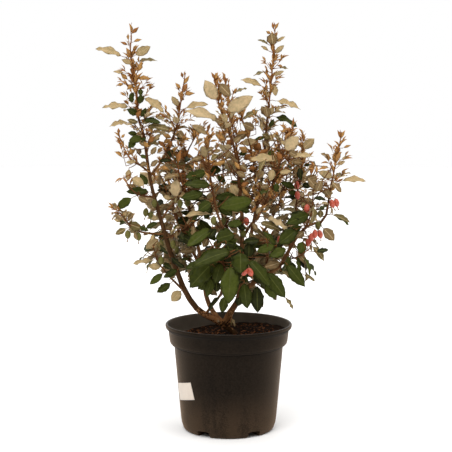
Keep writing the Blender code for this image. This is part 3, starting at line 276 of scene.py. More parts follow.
SHOWN = {
    "deep": (
        (140, 88, 141, 96, 5, 6, 4), (134, 92, 129, 100, 5, 4, 6), (139, 115, 127, 109, 7, 6, 12),
        (140, 118, 146, 108, 5, 4, 6), (138, 134, 128, 133, 5, 8, 8), (137, 140, 146, 139, 5, 8, 6),
        (273, 116, 298, 124, 5, 4, 6), (269, 128, 274, 119, 4, 6, 2), (148, 186, 140, 174, 7, 8, 6),
        (139, 105, 141, 94, 6, 6, 4), (132, 104, 131, 94, 5, 6, 4), (142, 120, 161, 123, 5, 10, 8),
        (199, 173, 186, 178, 9, 14, 6), (223, 171, 208, 168, 8, 14, 6), (275, 151, 267, 155, 5, 12, 3),
        (151, 192, 126, 191, 8, 10, 10), (159, 222, 145, 228, 5, 8, 6), (172, 282, 157, 293, 8, 10, 5),
        (179, 269, 163, 277, 7, 12, 6), (193, 255, 178, 264, 4, 14, 6), (297, 189, 281, 182, 6, 12, 8),
        (298, 193, 288, 193, 6, 10, 5), (277, 182, 275, 192, 6, 14, 4),
        (312, 213, 286, 223, 12, 14, 12), (207, 171, 192, 177, 9, 12, 8),
        (214, 186, 184, 184, 9, 14, 10), (206, 192, 181, 199, 10, 16, 10),
        (212, 201, 198, 211, 11, 18, 8), (241, 182, 230, 182, 4, 12, 4), (226, 183, 218, 176, 6, 12, 4),
        (247, 152, 239, 155, 5, 12, 4),),
    "shade": (
        (158, 161, 172, 161, 4, 4, 5), (166, 158, 173, 150, 6, 6, 3), (259, 168, 249, 171, 6, 14, 4),
        (170, 184, 158, 187, 3, 2, 5), (171, 192, 157, 190, 3, 2, 5), (190, 217, 176, 224, 8, 8, 5),
        (303, 166, 310, 164, 3, 4, 3), (301, 184, 311, 187, 6, 6, 4), (301, 199, 284, 197, 3, 8, 6),
        (312, 198, 326, 199, 4, 4, 5), (217, 228, 207, 238, 8, 20, 5), (194, 231, 180, 224, 7, 14, 5),
        (192, 214, 181, 212, 5, 8, 4),),
    "fresh": (
        (139, 104, 144, 96, 4, 2, 4), (136, 139, 128, 148, 7, 8, 8), (140, 155, 146, 158, 4, 8, 4),
        (266, 137, 255, 139, 4, 12, 6), (331, 214, 350, 223, 4, 6, 6), (143, 137, 129, 141, 8, 12, 8),
        (133, 197, 116, 208, 9, 4, 6), (164, 272, 150, 285, 7, 8, 6),),
    "olive": (
        (135, 62, 158, 60, 2, 0, -8), (139, 123, 127, 120, 5, 8, 8), (141, 124, 154, 118, 5, 6, 6),
        (232, 94, 247, 88, 2, 0, -4), (269, 45, 258, 39, 2, 0, 2), (278, 68, 289, 68, 2, 0, -4),
        (267, 71, 253, 76, 2, 0, 4), (261, 109, 243, 120, 5, 4, 6), (145, 126, 170, 130, 6, 10, 8),
        (196, 170, 171, 165, 8, 12, 10), (210, 160, 218, 155, 5, 10, 4), (271, 139, 262, 134, 6, 12, 4),
        (143, 229, 127, 224, 9, 8, 8), (127, 228, 115, 234, 6, 6, 5), (157, 241, 162, 249, 6, 4, 3),
        (157, 258, 164, 264, 5, 4, 3), (321, 209, 320, 218, 6, 6, 4), (297, 210, 283, 209, 3, 8, 4),
        (250, 228, 268, 238, 5, 22, 6), (258, 186, 252, 192, 4, 12, 4), (258, 222, 281, 229, 7, 20, 6),),
    "brown_and_painted_shade": (
        (177, 130, 183, 138, 7, 6, 6), (218, 83, 231, 96, 10, 6, 8), (273, 46, 272, 33, 11, 4, 6),
        (268, 116, 262, 106, 8, 8, 6), (256, 129, 242, 124, 8, 10, 8), (182, 175, 162, 177, 5, 4, 8),
        (146, 147, 139, 139, 5, 10, 4), (150, 155, 157, 147, 5, 10, 4), (148, 163, 139, 165, 5, 10, 5),
        (150, 167, 158, 160, 5, 10, 4), (174, 131, 160, 127, 6, 8, 6), (186, 165, 180, 158, 5, 6, 3),
        (203, 157, 192, 160, 5, 10, 5), (204, 152, 214, 147, 4, 8, 4), (231, 150, 225, 158, 6, 12, 4),
        (233, 143, 241, 137, 6, 10, 3), (236, 139, 247, 133, 7, 10, 4), (268, 119, 266, 106, 8, 14, 3),
        (262, 140, 270, 147, 5, 12, 4), (238, 165, 231, 158, 6, 12, 3), (288, 151, 297, 156, 7, 10, 4),
        (333, 160, 321, 153, 3, 2, 4), (301, 168, 294, 175, 5, 8, 3), (305, 181, 316, 175, 7, 8, 5),
        (137, 196, 148, 203, 6, 6, 5), (134, 232, 137, 240, 4, 8, 3), (150, 232, 143, 235, 3, 6, 3),
        (171, 263, 160, 260, 7, 2, 4), (176, 278, 167, 273, 5, 2, 4), (197, 250, 180, 252, 6, 8, 5),
        (177, 208, 159, 206, 7, 0, 6), (174, 223, 165, 230, 7, 0, 4), (176, 230, 177, 239, 5, 6, 3),
        (304, 163, 291, 161, 7, 8, 6), (318, 190, 308, 178, 8, 8, 8), (316, 193, 321, 180, 8, 8, 6),
        (319, 178, 307, 181, 6, 4, 6), (331, 199, 325, 190, 7, 6, 5), (303, 201, 316, 207, 7, 8, 5),
        (290, 213, 281, 220, 4, 6, 4), (281, 205, 269, 213, 8, 8, 4), (218, 170, 206, 174, 9, 12, 6),
        (226, 151, 235, 160, 6, 12, 5), (264, 160, 274, 156, 4, 14, 4), (192, 169, 180, 168, 5, 8, 6),
        (188, 176, 178, 179, 7, 8, 5), (262, 206, 256, 214, 5, 12, 3), (270, 186, 260, 187, 5, 10, 4),),
    "tan": (
        (124, 57, 96, 47, 6, 4, 12), (134, 56, 150, 46, 9, 4, 6), (132, 64, 122, 59, 5, 6, 12),
        (125, 73, 113, 72, 3, 4, 6), (131, 107, 102, 106, 5, 4, 16), (142, 97, 165, 111, 7, 6, 10),
        (130, 122, 109, 126, 4, 4, 10), (154, 116, 165, 119, 4, 4, 4), (179, 107, 172, 96, 6, 4, 6),
        (183, 109, 208, 103, 5, 2, 6), (190, 124, 208, 134, 7, 6, 10), (223, 112, 226, 124, 6, 10, 4),
        (276, 43, 285, 36, 3, 0, 2), (269, 51, 261, 46, 3, 0, 2), (274, 54, 284, 45, 5, 2, 4),
        (273, 76, 284, 71, 4, 2, 4), (264, 87, 241, 78, 5, 4, 10), (274, 84, 276, 96, 6, 4, 2),
        (272, 100, 302, 108, 4, 2, 6), (268, 116, 274, 107, 6, 8, 6), (263, 132, 260, 120, 4, 10, 4),
        (261, 141, 239, 145, 7, 14, 10), (280, 141, 288, 145, 4, 6, 4), (302, 150, 314, 138, 9, 6, 6),
        (341, 160, 349, 156, 3, 0, 3), (336, 165, 345, 161, 4, 2, 4), (340, 181, 366, 180, 5, 2, 8),
        (129, 168, 128, 181, 6, 4, 4), (131, 177, 144, 186, 9, 8, 5), (150, 131, 168, 134, 3, 8, 6),
        (152, 141, 161, 134, 4, 6, 4), (137, 161, 126, 163, 4, 6, 6), (222, 150, 212, 152, 4, 8, 4),
        (146, 214, 158, 219, 5, 6, 5), (154, 234, 151, 241, 4, 6, 3), (160, 238, 146, 249, 10, 6, 6),
        (155, 260, 133, 264, 4, 6, 8), (162, 267, 148, 266, 7, 8, 5), (182, 290, 171, 301, 10, 8, 5),
        (172, 199, 163, 196, 5, 6, 4), (176, 219, 164, 216, 7, 0, 5), (287, 157, 314, 156, 4, 8, 8),
        (334, 178, 319, 171, 8, 4, 8), (301, 183, 307, 171, 4, 6, 3), (252, 234, 265, 242, 4, 20, 5),
        (231, 183, 236, 197, 10, 16, 5), (279, 159, 250, 159, 8, 14, 10),
        (266, 171, 252, 179, 8, 16, 8), (272, 168, 271, 181, 8, 16, 4), (278, 173, 291, 171, 5, 10, 6),
        (288, 160, 279, 168, 4, 12, 4), (214, 214, 183, 216, 4, 14, 8), (203, 218, 198, 229, 7, 12, 4),),
    "beige": (
        (217, 102, 205, 80, 13, 8, 10), (224, 113, 253, 96, 14, 12, 14), (222, 121, 184, 109, 8, 8, 12),
        (283, 151, 299, 137, 13, 8, 6), (175, 199, 176, 179, 12, 12, 5), (265, 216, 288, 230, 5, 22, 8),
        (236, 218, 231, 222, 4, 30, 4),),
    "rust": (
        (131, 34, 139, 27, 4, 2, 4), (128, 45, 120, 42, 3, 0, 4), (119, 134, 118, 128, 3, 0, 2),
        (183, 78, 181, 72, 3, 0, 2), (215, 80, 211, 72, 3, 0, 2), (274, 30, 272, 22, 3, 0, 1),
        (341, 139, 337, 130, 3, 0, 2), (338, 150, 335, 145, 2, 0, 2), (147, 143, 156, 136, 5, 8, 4),
        (165, 147, 158, 141, 4, 6, 3), (136, 118, 141, 110, 5, 10, 2), (173, 147, 167, 140, 5, 6, 3),
        (181, 158, 189, 149, 6, 6, 4), (226, 146, 233, 139, 6, 12, 3), (262, 150, 252, 142, 8, 16, 4),
        (258, 155, 268, 149, 6, 14, 4), (243, 160, 252, 154, 7, 14, 4), (247, 172, 238, 167, 6, 14, 4),
        (283, 160, 276, 152, 5, 10, 3), (257, 168, 247, 169, 5, 12, 4), (268, 191, 271, 199, 3, 12, 3),),
    "gold": (
        (131, 34, 130, 23, 3, 0, 2), (133, 42, 142, 39, 3, 0, -3), (137, 79, 151, 78, 5, 6, 8),
        (124, 84, 116, 85, 3, 6, 4), (145, 86, 154, 85, 3, 4, 2), (119, 136, 114, 132, 2, 0, 2),
        (121, 138, 125, 134, 3, 0, 2), (123, 158, 115, 151, 3, 2, 4), (184, 85, 189, 75, 4, 2, 2),
        (181, 89, 175, 83, 4, 0, 3), (184, 95, 195, 93, 4, 2, 4), (215, 80, 218, 72, 3, 2, 2),
        (275, 30, 279, 22, 3, 1, 2), (271, 34, 266, 31, 3, 0, 2), (249, 134, 235, 133, 4, 8, 6),
        (341, 139, 345, 130, 3, 1, 2), (343, 148, 351, 145, 3, 0, 2), (149, 148, 143, 141, 5, 10, 3),
        (157, 153, 163, 147, 4, 6, 3), (163, 143, 171, 139, 5, 6, 4), (136, 149, 126, 155, 5, 6, 5),
        (153, 133, 148, 126, 5, 8, 3), (133, 84, 127, 90, 5, 4, 4), (138, 72, 142, 61, 5, 4, 3),
        (128, 80, 120, 73, 5, 2, 4), (172, 138, 162, 134, 5, 6, 4), (178, 141, 191, 138, 4, 4, 5),
        (170, 153, 178, 146, 4, 6, 3), (178, 158, 172, 149, 5, 6, 3), (184, 154, 194, 158, 4, 4, 4),
        (160, 166, 170, 170, 5, 6, 4), (226, 140, 215, 134, 5, 10, 5), (214, 165, 226, 161, 5, 12, 5),
        (226, 158, 219, 166, 5, 12, 4), (281, 133, 288, 128, 4, 6, 3), (248, 152, 239, 147, 7, 14, 4),
        (330, 168, 318, 169, 3, 2, 4), (226, 188, 232, 194, 5, 16, 4), (241, 186, 246, 192, 4, 12, 4),
        (234, 161, 240, 170, 4, 14, 4), (256, 161, 246, 158, 5, 12, 4), (224, 167, 205, 161, 4, 16, 8),
        (286, 190, 280, 198, 5, 10, 3), (279, 198, 284, 204, 4, 10, 3), (256, 190, 262, 199, 4, 12, 3),),
}

# The leaves low down in front; their feet are so many millimetres in front of the pot's middle
IN_FRONT = {
    "deep": (
        (240, 250, 241, 274, 18, 138, 12), (235, 250, 191, 264, 13, 114, 20),
        (231, 256, 210, 262, 5, 90, 10), (236, 233, 216, 240, 16, 82, 12),
        (213, 262, 189, 287, 18, 95, 18), (222, 260, 214, 284, 12, 88, 8),
        (213, 276, 206, 297, 9, 90, 8), (244, 280, 246, 309, 13, 96, 8),
        (247, 257, 270, 287, 12, 100, 14), (264, 270, 286, 297, 14, 91, 14),
        (285, 262, 305, 287, 12, 80, 12), (277, 247, 263, 231, 6, 73, 6),
        (298, 228, 279, 245, 14, 70, 10), (238, 195, 215, 199, 9, 50, 6),
        (251, 212, 240, 209, 6, 48, 4), (226, 294, 221, 313, 9, 85, 6), (217, 199, 232, 216, 12, 54, 6),),
    "shade": (
        (216, 280, 217, 292, 9, 77, 4), (249, 241, 249, 259, 11, 77, 6),
        (257, 283, 257, 313, 13, 87, 8), (252, 273, 262, 283, 8, 85, 6), (244, 273, 239, 284, 8, 85, 6),
        (268, 256, 253, 257, 3, 70, 4), (240, 296, 238, 306, 8, 77, 4), (236, 225, 246, 229, 6, 52, 4),
        (222, 295, 207, 311, 3.5, 72, 4),),
    "fresh": (
        (231, 262, 228, 304, 18, 130, 16), (218, 239, 217, 249, 8, 85, 4),
        (214, 227, 187, 247, 11, 78, 20), (266, 279, 276, 298, 13, 85, 8),
        (303, 240, 300, 254, 10, 65, 5), (277, 245, 256, 251, 9, 76, 8),
        (288, 248, 269, 257, 10, 72, 8), (256, 199, 219, 209, 15, 62, 10),
        (244, 222, 227, 225, 8, 58, 6),),
    "olive": (
        (284, 296, 293, 309, 3, 90, 6), (280, 270, 295, 280, 4, 75, 6), (303, 274, 315, 281, 3, 72, 5),
        (311, 245, 326, 260, 6, 59, 6), (331, 214, 350, 223, 4, 34, 6), (248, 232, 256, 240, 5, 44, 3),
        (211, 218, 217, 226, 5, 40, 3), (233, 319, 231, 326, 2, 30, 2),),
    "brown_and_painted_shade": (
        (246, 262, 262, 280, 8, 95, 10), (296, 251, 308, 265, 6, 65, 6), (305, 231, 296, 238, 7, 52, 4),
        (322, 227, 335, 240, 10, 46, 5), (282, 262, 264, 268, 9, 62, 6), (204, 233, 196, 240, 8, 71, 4),
        (208, 238, 203, 247, 7, 67, 4), (247, 177, 236, 172, 6, 42, 4), (248, 170, 240, 165, 5, 40, 3),
        (252, 222, 258, 231, 5, 46, 3), (250, 200, 256, 207, 4, 44, 3), (217, 226, 222, 234, 5, 42, 3),),
    "tan": (
        (231, 317, 235, 327, 2, 30, 2),),
    "rust": (
        (240, 187, 249, 182, 5, 44, 3), (251, 214, 256, 205, 4, 46, 3),),
    "gold": (
        (248, 196, 242, 189, 5, 46, 3), (254, 203, 259, 194, 4, 42, 3), (209, 203, 214, 196, 4, 42, 3),),
}

# The berries that show, red or green: the pixels of a berry's top and end, and how far it is in
# front of its stem in millimetres
BERRIES = {
    True: (
        (331, 199.5, 334, 209.5, 8), (335.5, 198.5, 337.5, 207.5, 4), (311.5, 233, 311, 242.5, 10),
        (309, 238, 307.5, 247, 12), (315, 229.5, 315, 239, 4), (319, 230, 321.5, 240, 8),
        (297, 191, 298, 199, 14), (307, 204, 307, 211, 4), (297, 181, 297, 188, 8),
        (246, 217, 247, 226, 26), (279, 236, 280, 241, 16)),
    False: (
        (318, 221, 318, 230, 4), (127.5, 230, 128, 240, 6), (138, 232, 139, 242, 6),
        (146, 208, 145.5, 218, 6), (154, 199, 154.5, 208, 8), (180, 199, 180, 208, 12),
        (187.5, 198, 188, 207, 12), (214, 216, 213, 225, 24), (224, 217, 223, 226, 22),
        (241, 178, 242, 186, 14), (243, 229, 243, 237, 34), (177, 246, 177, 255, 14),
        (173, 240, 173, 248, 10), (161, 256, 161, 265, 8), (161, 240, 161, 249, 6),
        (151, 211, 151, 219, 6)),
}

# The two berries low down in front, with their distance in front of the pot's middle
FRONT_BERRIES = ((247, 268, 242, 276, 128), (248, 268, 252, 276, 128))

# A berry's width in the photograph's pixels
BERRY_SEEN = 6

# The heart of the crown, by height and across, and how many small leaves each spray there tries
HEART = (0.39, 0.57)
HEART_MIDDLE, HEART_REACH, HEART_BACK = 0.035, 0.15, 0.13
HEART_LEAVES = 66
HEART_TONES = ("shade", "olive", "brown_and_painted_shade", "brown_and_painted_shade", "olive")

# The limbs that the photograph shows, with the stretch of each that growth leaves clear
SHOWN_LIMBS = {"stem_left": (0.08, 1.0), "stem_right": (0.30, 0.95), "stem_centre": (0.84, 1.0)}
LIMB_SCREENS = 10

# How far in front of the pot's middle the foremost leaves reach
FRONT = -0.168

# The least width of a placed leaf as a share of its length
SHOWN_WIDTH = 0.36

# A placed leaf's width over the one read from the photograph, for its fold and its waves
FULLER = 1.04

# Past here, low down in front, all leaves are placed by the photograph
NEAR_LEAVES = -0.100

# Young shoots that show, by the photograph: the pixels of a shoot's foot and tip, how far it is in
# front of its stem in millimetres, and how many leaves it bears under its tuft
SHOOTS = (
    (136, 75, 140, 64, 4, 4), (135, 79, 125, 71, 2, 2), (135, 89, 122, 82, 4, 3),
    (134, 95, 127, 86, 2, 2), (137, 92, 146, 82, 4, 3), (140, 102, 149, 90, 4, 4),
    (136, 104, 126, 96, 4, 3), (176, 121, 162, 106, 4, 4), (176, 127, 193, 117, 4, 4),
    (141, 130, 158, 116, 4, 3), (178, 124, 167, 118, 2, 2), (164, 146, 168, 134, 4, 3),
    (126, 166, 119, 137, 2, 7), (136, 160, 128, 150, 4, 3), (133, 172, 122, 178, 2, 2),
    (158, 146, 152, 132, 4, 4), (186, 160, 184, 138, 4, 4), (199, 162, 198, 138, 6, 5),
    (209, 163, 208, 138, 6, 4), (176, 150, 182, 140, 4, 3), (170, 160, 163, 147, 4, 4),
    (216, 150, 220, 136, 4, 3), (226, 140, 221, 128, 4, 4), (236, 136, 233, 118, 4, 4),
    (241, 130, 239, 114, 4, 4), (228, 100, 219, 88, 4, 2), (229, 104, 233, 94, 2, 2),
    (256, 134, 255, 116, 6, 4), (272, 71, 266, 63, 2, 2), (273, 68, 276, 60, 2, 2),
    (274, 68, 282, 59, 2, 3), (272, 84, 278, 79, 2, 1), (270, 94, 265, 84, 2, 3),
    (269, 103, 262, 95, 2, 3), (270, 108, 281, 106, 4, 2), (290, 140, 293, 126, 4, 3),
    (282, 142, 284, 130, 4, 4), (302, 146, 302, 136, 4, 2), (304, 168, 309, 158, 4, 2),
    (333, 172, 329, 162, 2, 3), (337, 168, 345, 158, 2, 2), (336, 158, 332, 150, 2, 2),
    (253, 172, 252, 152, 8, 5), (262, 166, 268, 150, 6, 4), (274, 168, 276, 150, 6, 4),
    (288, 178, 292, 162, 6, 4), (246, 186, 244, 168, 8, 5), (296, 170, 299, 158, 4, 3),
    (271, 205, 277, 186, 8, 5), (262, 202, 266, 184, 8, 4), (240, 176, 236, 160, 6, 4),
    (229, 176, 226, 158, 6, 4), (152, 182, 158, 172, 6, 3), (156, 178, 148, 168, 4, 3),
    (121, 213, 114, 209, 2, 2), (125, 220, 119, 212, 2, 2), (328, 196, 322, 186, 2, 3),
    (322, 200, 331, 190, 2, 2), (284, 200, 290, 188, 6, 4), (246, 205, 252, 192, 14, 3),
    (209, 189, 208, 180, 14, 1), (168, 196, 164, 184, 6, 2), (256, 222, 262, 210, 12, 3),
    (310, 206, 306, 194, 4, 3), (198, 180, 194, 170, 8, 2), (167, 172, 170, 160, 6, 3),
    (260, 190, 258, 176, 6, 3), (305, 184, 300, 174, 4, 2), (318, 176, 314, 168, 4, 2),
    (259, 214, 268, 186, 8, 4), (268, 200, 280, 174, 6, 4), (262, 205, 256, 184, 8, 3),
    (272, 214, 282, 198, 6, 3), (250, 206, 247, 182, 8, 4),
)

# What the rule makes: a twig with its path, a leaf with its place, way and size, and a berry
Twig = namedtuple("Twig", "path root tip at")
Blade = namedtuple("Blade", "foot direction length width roll at young tone")
Berry = namedtuple("Berry", "foot end axis at ripe")


def smooth_path(points, steps, first_direction=None):
    """Points along one smooth curve through the given points."""
    knots = [Vector(p) for p in points]
    tangents = [(b - a) / 2 for a, b in zip([knots[0]] + knots[:-1], knots[1:] + [knots[-1]])]
    tangents[0] = (knots[1] - knots[0]) * 0.9
    tangents[-1] = (knots[-1] - knots[-2]) * 0.9
    if first_direction is not None:
        tangents[0] = first_direction * (knots[1] - knots[0]).length
    path = [knots[0]]
    for i in range(len(knots) - 1):
        span = interpolate_bezier(
            knots[i], knots[i] + tangents[i] / 3, knots[i + 1] - tangents[i + 1] / 3, knots[i + 1],
            steps + 1)
        path.extend(Vector(p) for p in span[1:])
    return path


def directions_along(path):
    """The unit direction of travel at each point of a path."""
    ahead = path[1:] + [path[-1] + (path[-1] - path[-2])]
    behind = [path[0] - (path[1] - path[0])] + path[:-1]
    return [(b - a).normalized() for a, b in zip(behind, ahead)]


def point_on(path, fraction):
    """The point a given fraction of the way along a path, and the direction there."""
    lengths = [(b - a).length for a, b in zip(path, path[1:])]
    left = max(0.0, min(1.0, fraction)) * sum(lengths)
    for a, b, length in zip(path, path[1:], lengths):
        if left <= length:
            return a.lerp(b, left / length), (b - a).normalized()
        left -= length
    return path[-1].copy(), (path[-1] - path[-2]).normalized()


def taper(count, root, tip):
    """Radii from root to tip."""
    return [root + (tip - root) * i / (count - 1) for i in range(count)]


def tube(path, radii, sides, directions=None, ground=None):
    """A closed tapering tube along a path, with flat ends. Its foot can be level with the ground."""
    directions = directions or directions_along(path)
    across = directions[0].orthogonal().normalized()
    points = []
    for i, (centre, direction, radius) in enumerate(zip(path, directions, radii)):
        across = (across - direction * across.dot(direction)).normalized()
        up = direction.cross(across)
        for k in range(sides):
            turn = 2 * pi * k / sides
            spot = centre + (across * cos(turn) + up * sin(turn)) * radius
            if ground is not None:
                spot.z = ground if i == 0 else max(spot.z, ground + 0.0015 * i)
            points.append(spot)
    faces = [tuple(reversed(range(sides)))]
    for i in range(len(path) - 1):
        for k in range(sides):
            a = i * sides + k
            b = i * sides + (k + 1) % sides
            faces.append((a, b, b + sides, a + sides))
    last = (len(path) - 1) * sides
    faces.append(tuple(range(last, last + sides)))
    return points, faces


def turned(profile, sides):
    """A closed turned shape from a profile that starts and ends on the axis."""
    points = []
    rings = []
    for radius, height in profile:
        if radius == 0:
            rings.append([len(points)])
            points.append(Vector((0, 0, height)))
            continue
        ring = []
        for k in range(sides):
            turn = 2 * pi * k / sides
            ring.append(len(points))
            points.append(Vector((radius * cos(turn), radius * sin(turn), height)))
        rings.append(ring)
    faces = []
    for low, high in zip(rings, rings[1:]):
        for k in range(sides):
            j = (k + 1) % sides
            if len(low) == 1:
                faces.append((low[0], high[j], high[k]))
            elif len(high) == 1:
                faces.append((low[k], low[j], high[0]))
            else:
                faces.append((low[k], low[j], high[j], high[k]))
    return points, faces


def limb_path(name, known):
    """The smooth centre line of a limb or a spray's stem, from the carrier that it leaves."""
    growth = LIMBS.get(name) or SPRAYS[name]
    steps = LIMB_STEPS if name in LIMBS else STEM_STEPS
    if growth.carrier is None:
        return smooth_path([CROWN, *growth.path], steps)
    carrier = known[growth.carrier]
    if growth.at < 1:
        foot, _ = point_on(carrier, growth.at)
        return smooth_path([foot, *growth.path], steps)
    along = directions_along(carrier)[-1]
    return smooth_path([carrier[-1] + along * GAP, *growth.path], steps, along)


def crown_radii(path):
    """The crown's radii: its taper, widened into the root flare at the soil."""
    limb = LIMBS["crown"]
    radii = taper(len(path), limb.root, limb.tip)
    radii[0] *= 1.40
    radii[1] *= 1.12
    return radii


def growth_directions(growth, path, paths):
    """The direction at each point of a limb or stem. An end joint faces on from its carrier's tip."""
    directions = directions_along(path)
    if growth.carrier is not None and growth.at == 1:
        directions[0] = directions_along(paths[growth.carrier])[-1]
    return directions


def leaf_frame(direction, roll):
    """The side and face directions of a leaf that points along direction."""
    up = Vector((0, 0, 1)) if abs(direction.z) < 0.98 else Vector((0, -1, 0))
    up = (up - direction * up.dot(direction)).normalized()
    face = Matrix.Rotation(roll, 3, direction) @ up
    return direction.cross(face), face


def heading(bearing, rise):
    """The direction with a bearing in plan and a rise above the level, in radians."""
    return Vector((cos(bearing) * cos(rise), sin(bearing) * cos(rise), sin(rise)))


class Stretches:
    """Straight stretches between points in a row, to measure from."""

    def __init__(self, pairs):
        self.starts = np.array([tuple(start) for start, _ in pairs])
        self.spans = np.array([tuple(end - start) for start, end in pairs])

    def away(self, points):
        """How far points lie from every stretch, one row for each point."""
        offsets = points[:, None, :] - self.starts
        along = np.clip((offsets * self.spans).sum(axis=2) / (self.spans ** 2).sum(axis=1), 0, 1)
        return np.sqrt(((offsets - along[:, :, None] * self.spans) ** 2).sum(axis=2))


class Spaces:
    """The room each spray has: nearer to its own stem than to any other, and off the limbs."""

    def __init__(self, paths, limbs):
        stems = [(name, pair) for name in SPRAYS for pair in zip(paths[name], paths[name][1:])]
        self.owners = np.array([name for name, _ in stems])
        self.stems = Stretches([pair for _, pair in stems])
        bars = [(pair, r) for path, radii, *_ in limbs.values()
                for pair, r in zip(zip(path, path[1:]), radii)]
        self.limbs = Stretches([pair for pair, _ in bars])
        self.radii = np.array([radius for _, radius in bars]) + LIMB_CLEARANCE

    def roomy(self, name, points, reach):
        """Whether points are in a spray's own room and reach, clear of the limbs and the pot."""
        if any(p.z < POT_HEIGHT + RIM_CLEARANCE and p.xy.length < 0.14 for p in points):
            return False
        spots = np.array([tuple(p) for p in points])
        away = self.stems.away(spots)
        mine = self.owners == name
        own = away[:, mine].min(axis=1)
        if reach is not None and own.max() > reach:
            return False
        if (own + 2 * SPACE_MARGIN > away[:, ~mine].min(axis=1)).any():
            return False
        return bool((self.limbs.away(spots) > self.radii).all())


def stem_radius(name, at):
    """The radius of a spray's stem at a fraction of its length."""
    spray = SPRAYS[name]
    root = LIMBS[spray.carrier].tip if spray.at == 1 else SIDE_STEM_RADIUS
    return root + (TIP_RADIUS - root) * at


def nodes_of(name):
    """The nodes up a spray's stem, by its seeded rule: the place, bearing, rise and leaf size."""
    spray = SPRAYS[name]
    start = Random(spray.seed).uniform(0, 2 * pi)
    for k in range(spray.nodes):
        rng = Random(spray.seed * 100 + k)
        at = (k + 0.7) / (spray.nodes + 0.5)
        bearing = start + k * GOLDEN_ANGLE + rng.uniform(-0.3, 0.3)
        rise = radians(rng.uniform(15, 40) + 25 * at)
        size = (spray.low + (spray.high - spray.low) * at) * rng.uniform(0.85, 1.15)
        yield at, bearing, rise, size, rng


def leaf_spots(blade):
    """Points on a leaf for the tests of room: along its rib and at its margins."""
    side, _ = leaf_frame(blade.direction, blade.roll)
    rib = [blade.foot + blade.direction * blade.length * t for t in (0.3, 0.52, 0.8, 1)]
    return [*rib, rib[1] - side * blade.width / 2, rib[1] + side * blade.width / 2]


def ruled_growth(name, path, spaces):
    """The twigs and leaves of a spray's rule that stay in its room."""
    spray = SPRAYS[name]
    grown = []

    def add_leaf(blades, reach):
        for blade in blades:
            if spaces.roomy(name, leaf_spots(blade), reach):
                grown.append(blade)
                return

    for at, bearing, rise, size, rng in nodes_of(name):
        foot, _ = point_on(path, at)
        if at < spray.twiggy:
            length = spray.reach * (0.68 - 0.25 * at) * rng.uniform(0.8, 1.1)
            for shorter in (1.0, 0.72):
                twig, blades = twig_growth(
                    name, foot, (bearing, rise), length * shorter, size, at, rng)
                if spaces.roomy(name, twig.path[2:], spray.reach):
                    grown.append(twig)
                    for choices in blades:
                        add_leaf(choices, spray.reach * 1.3)
                    break
        else:
            for turn in (0, pi * 0.8):
                direction = heading(bearing + turn, rise + 0.3)
                leaf = size * rng.uniform(1.0, 1.3)
                roll = rng.gauss(0, 0.5)
                tone = tone_of(foot, True, Random(leaf))
                blade = Blade(foot, direction, leaf, leaf * YOUNG_WIDTH, roll, at, True, tone)
                add_leaf([blade], spray.reach * 1.2)
    tip, direction = point_on(path, 0.995)
    for side in (-1, 1):
        spread = (direction + Vector((side * 0.35, side * 0.2, 0))).normalized()
        width = spray.high * YOUNG_WIDTH
        add_leaf([Blade(tip, spread, spray.high, width, 0.4, 1.0, True, "rust")], None)
    return grown


def twig_growth(name, foot, heading_of_twig, length, size, at, rng):
    """A side twig and its leaves, alternately left and right and one at its tip."""
    bearing, rise = heading_of_twig
    ends = [foot, foot + heading(bearing, rise) * length]
    root = min(TWIG_RADIUS, stem_radius(name, at) * 0.8)
    twig = Twig(bowed(*ends, 0.07, at * 40 + foot.x * 100), root, TIP_RADIUS, at)
    leafing = []
    for along, side in ((0.38, 1), (0.60, -1), (0.80, 1), (0.97, -0.25)):
        foot, _ = point_on(twig.path, along)
        turn = side * rng.uniform(0.7, 1.2)
        droop = rng.uniform(-0.6, 0.3) * (1.2 - at)
        direction = heading(bearing + turn, rise + droop)
        leaf = size * rng.uniform(0.85, 1.1)
        roll = settled_roll(foot, direction, rng.gauss(0, 0.55))
        tone = tone_of(foot, False, Random(leaf))
        leafing.append([
            Blade(foot, direction, leaf * s, leaf * s * LEAF_WIDTH, roll, at, False, tone)
            for s in SMALLER])
    return twig, leafing


def seen_at(point):
    """Where the camera sees a point, in the photograph's pixels."""
    ahead, up = point.y + SIGHT.distance, point.z - SIGHT.height
    away = ahead * cos(SIGHT.pitch) - up * sin(SIGHT.pitch)
    above = ahead * sin(SIGHT.pitch) + up * cos(SIGHT.pitch)
    x, y = SIGHT.middle
    return x + SIGHT.focal * point.x / away, y - SIGHT.focal * above / away


def point_seen(pixel, depth):
    """The point that the camera sees at a pixel, at a distance behind the pot's middle."""
    across = (pixel[0] - SIGHT.middle[0]) / SIGHT.focal
    above = (SIGHT.middle[1] - pixel[1]) / SIGHT.focal
    ahead = cos(SIGHT.pitch) + above * sin(SIGHT.pitch)
    up = above * cos(SIGHT.pitch) - sin(SIGHT.pitch)
    scale = (depth + SIGHT.distance) / ahead
    return Vector((across * scale, depth, SIGHT.height + up * scale))


def in_the_open(*points):
    """Whether a point lies where the photograph shows sky, outside the crown or within it."""
    for point in points:
        across, down = seen_at(point)
        for x, y, wide, high in SKY:
            if ((across - x) / wide) ** 2 + ((down - y) / high) ** 2 < 1:
                return True
        inside = False
        for (x1, y1), (x2, y2) in zip(OUTLINE, OUTLINE[1:] + OUTLINE[:1]):
            if (y1 > down) != (y2 > down) and across < x1 + (x2 - x1) * (down - y1) / (y2 - y1):
                inside = not inside
        if not inside:
            return True
    return False


def hides_sky(item):
    """Whether a leaf or twig would cover sky, a leaf or fruit that the photograph shows."""
    if isinstance(item, Twig):
        return in_the_open(item.path[-1])
    points = [item.foot + item.direction * item.length * t for t in (0.25, 0.5, 0.75, 0.95)]
    return in_the_open(*points[1:]) or too_near(points[1]) or hides_shown(*points)


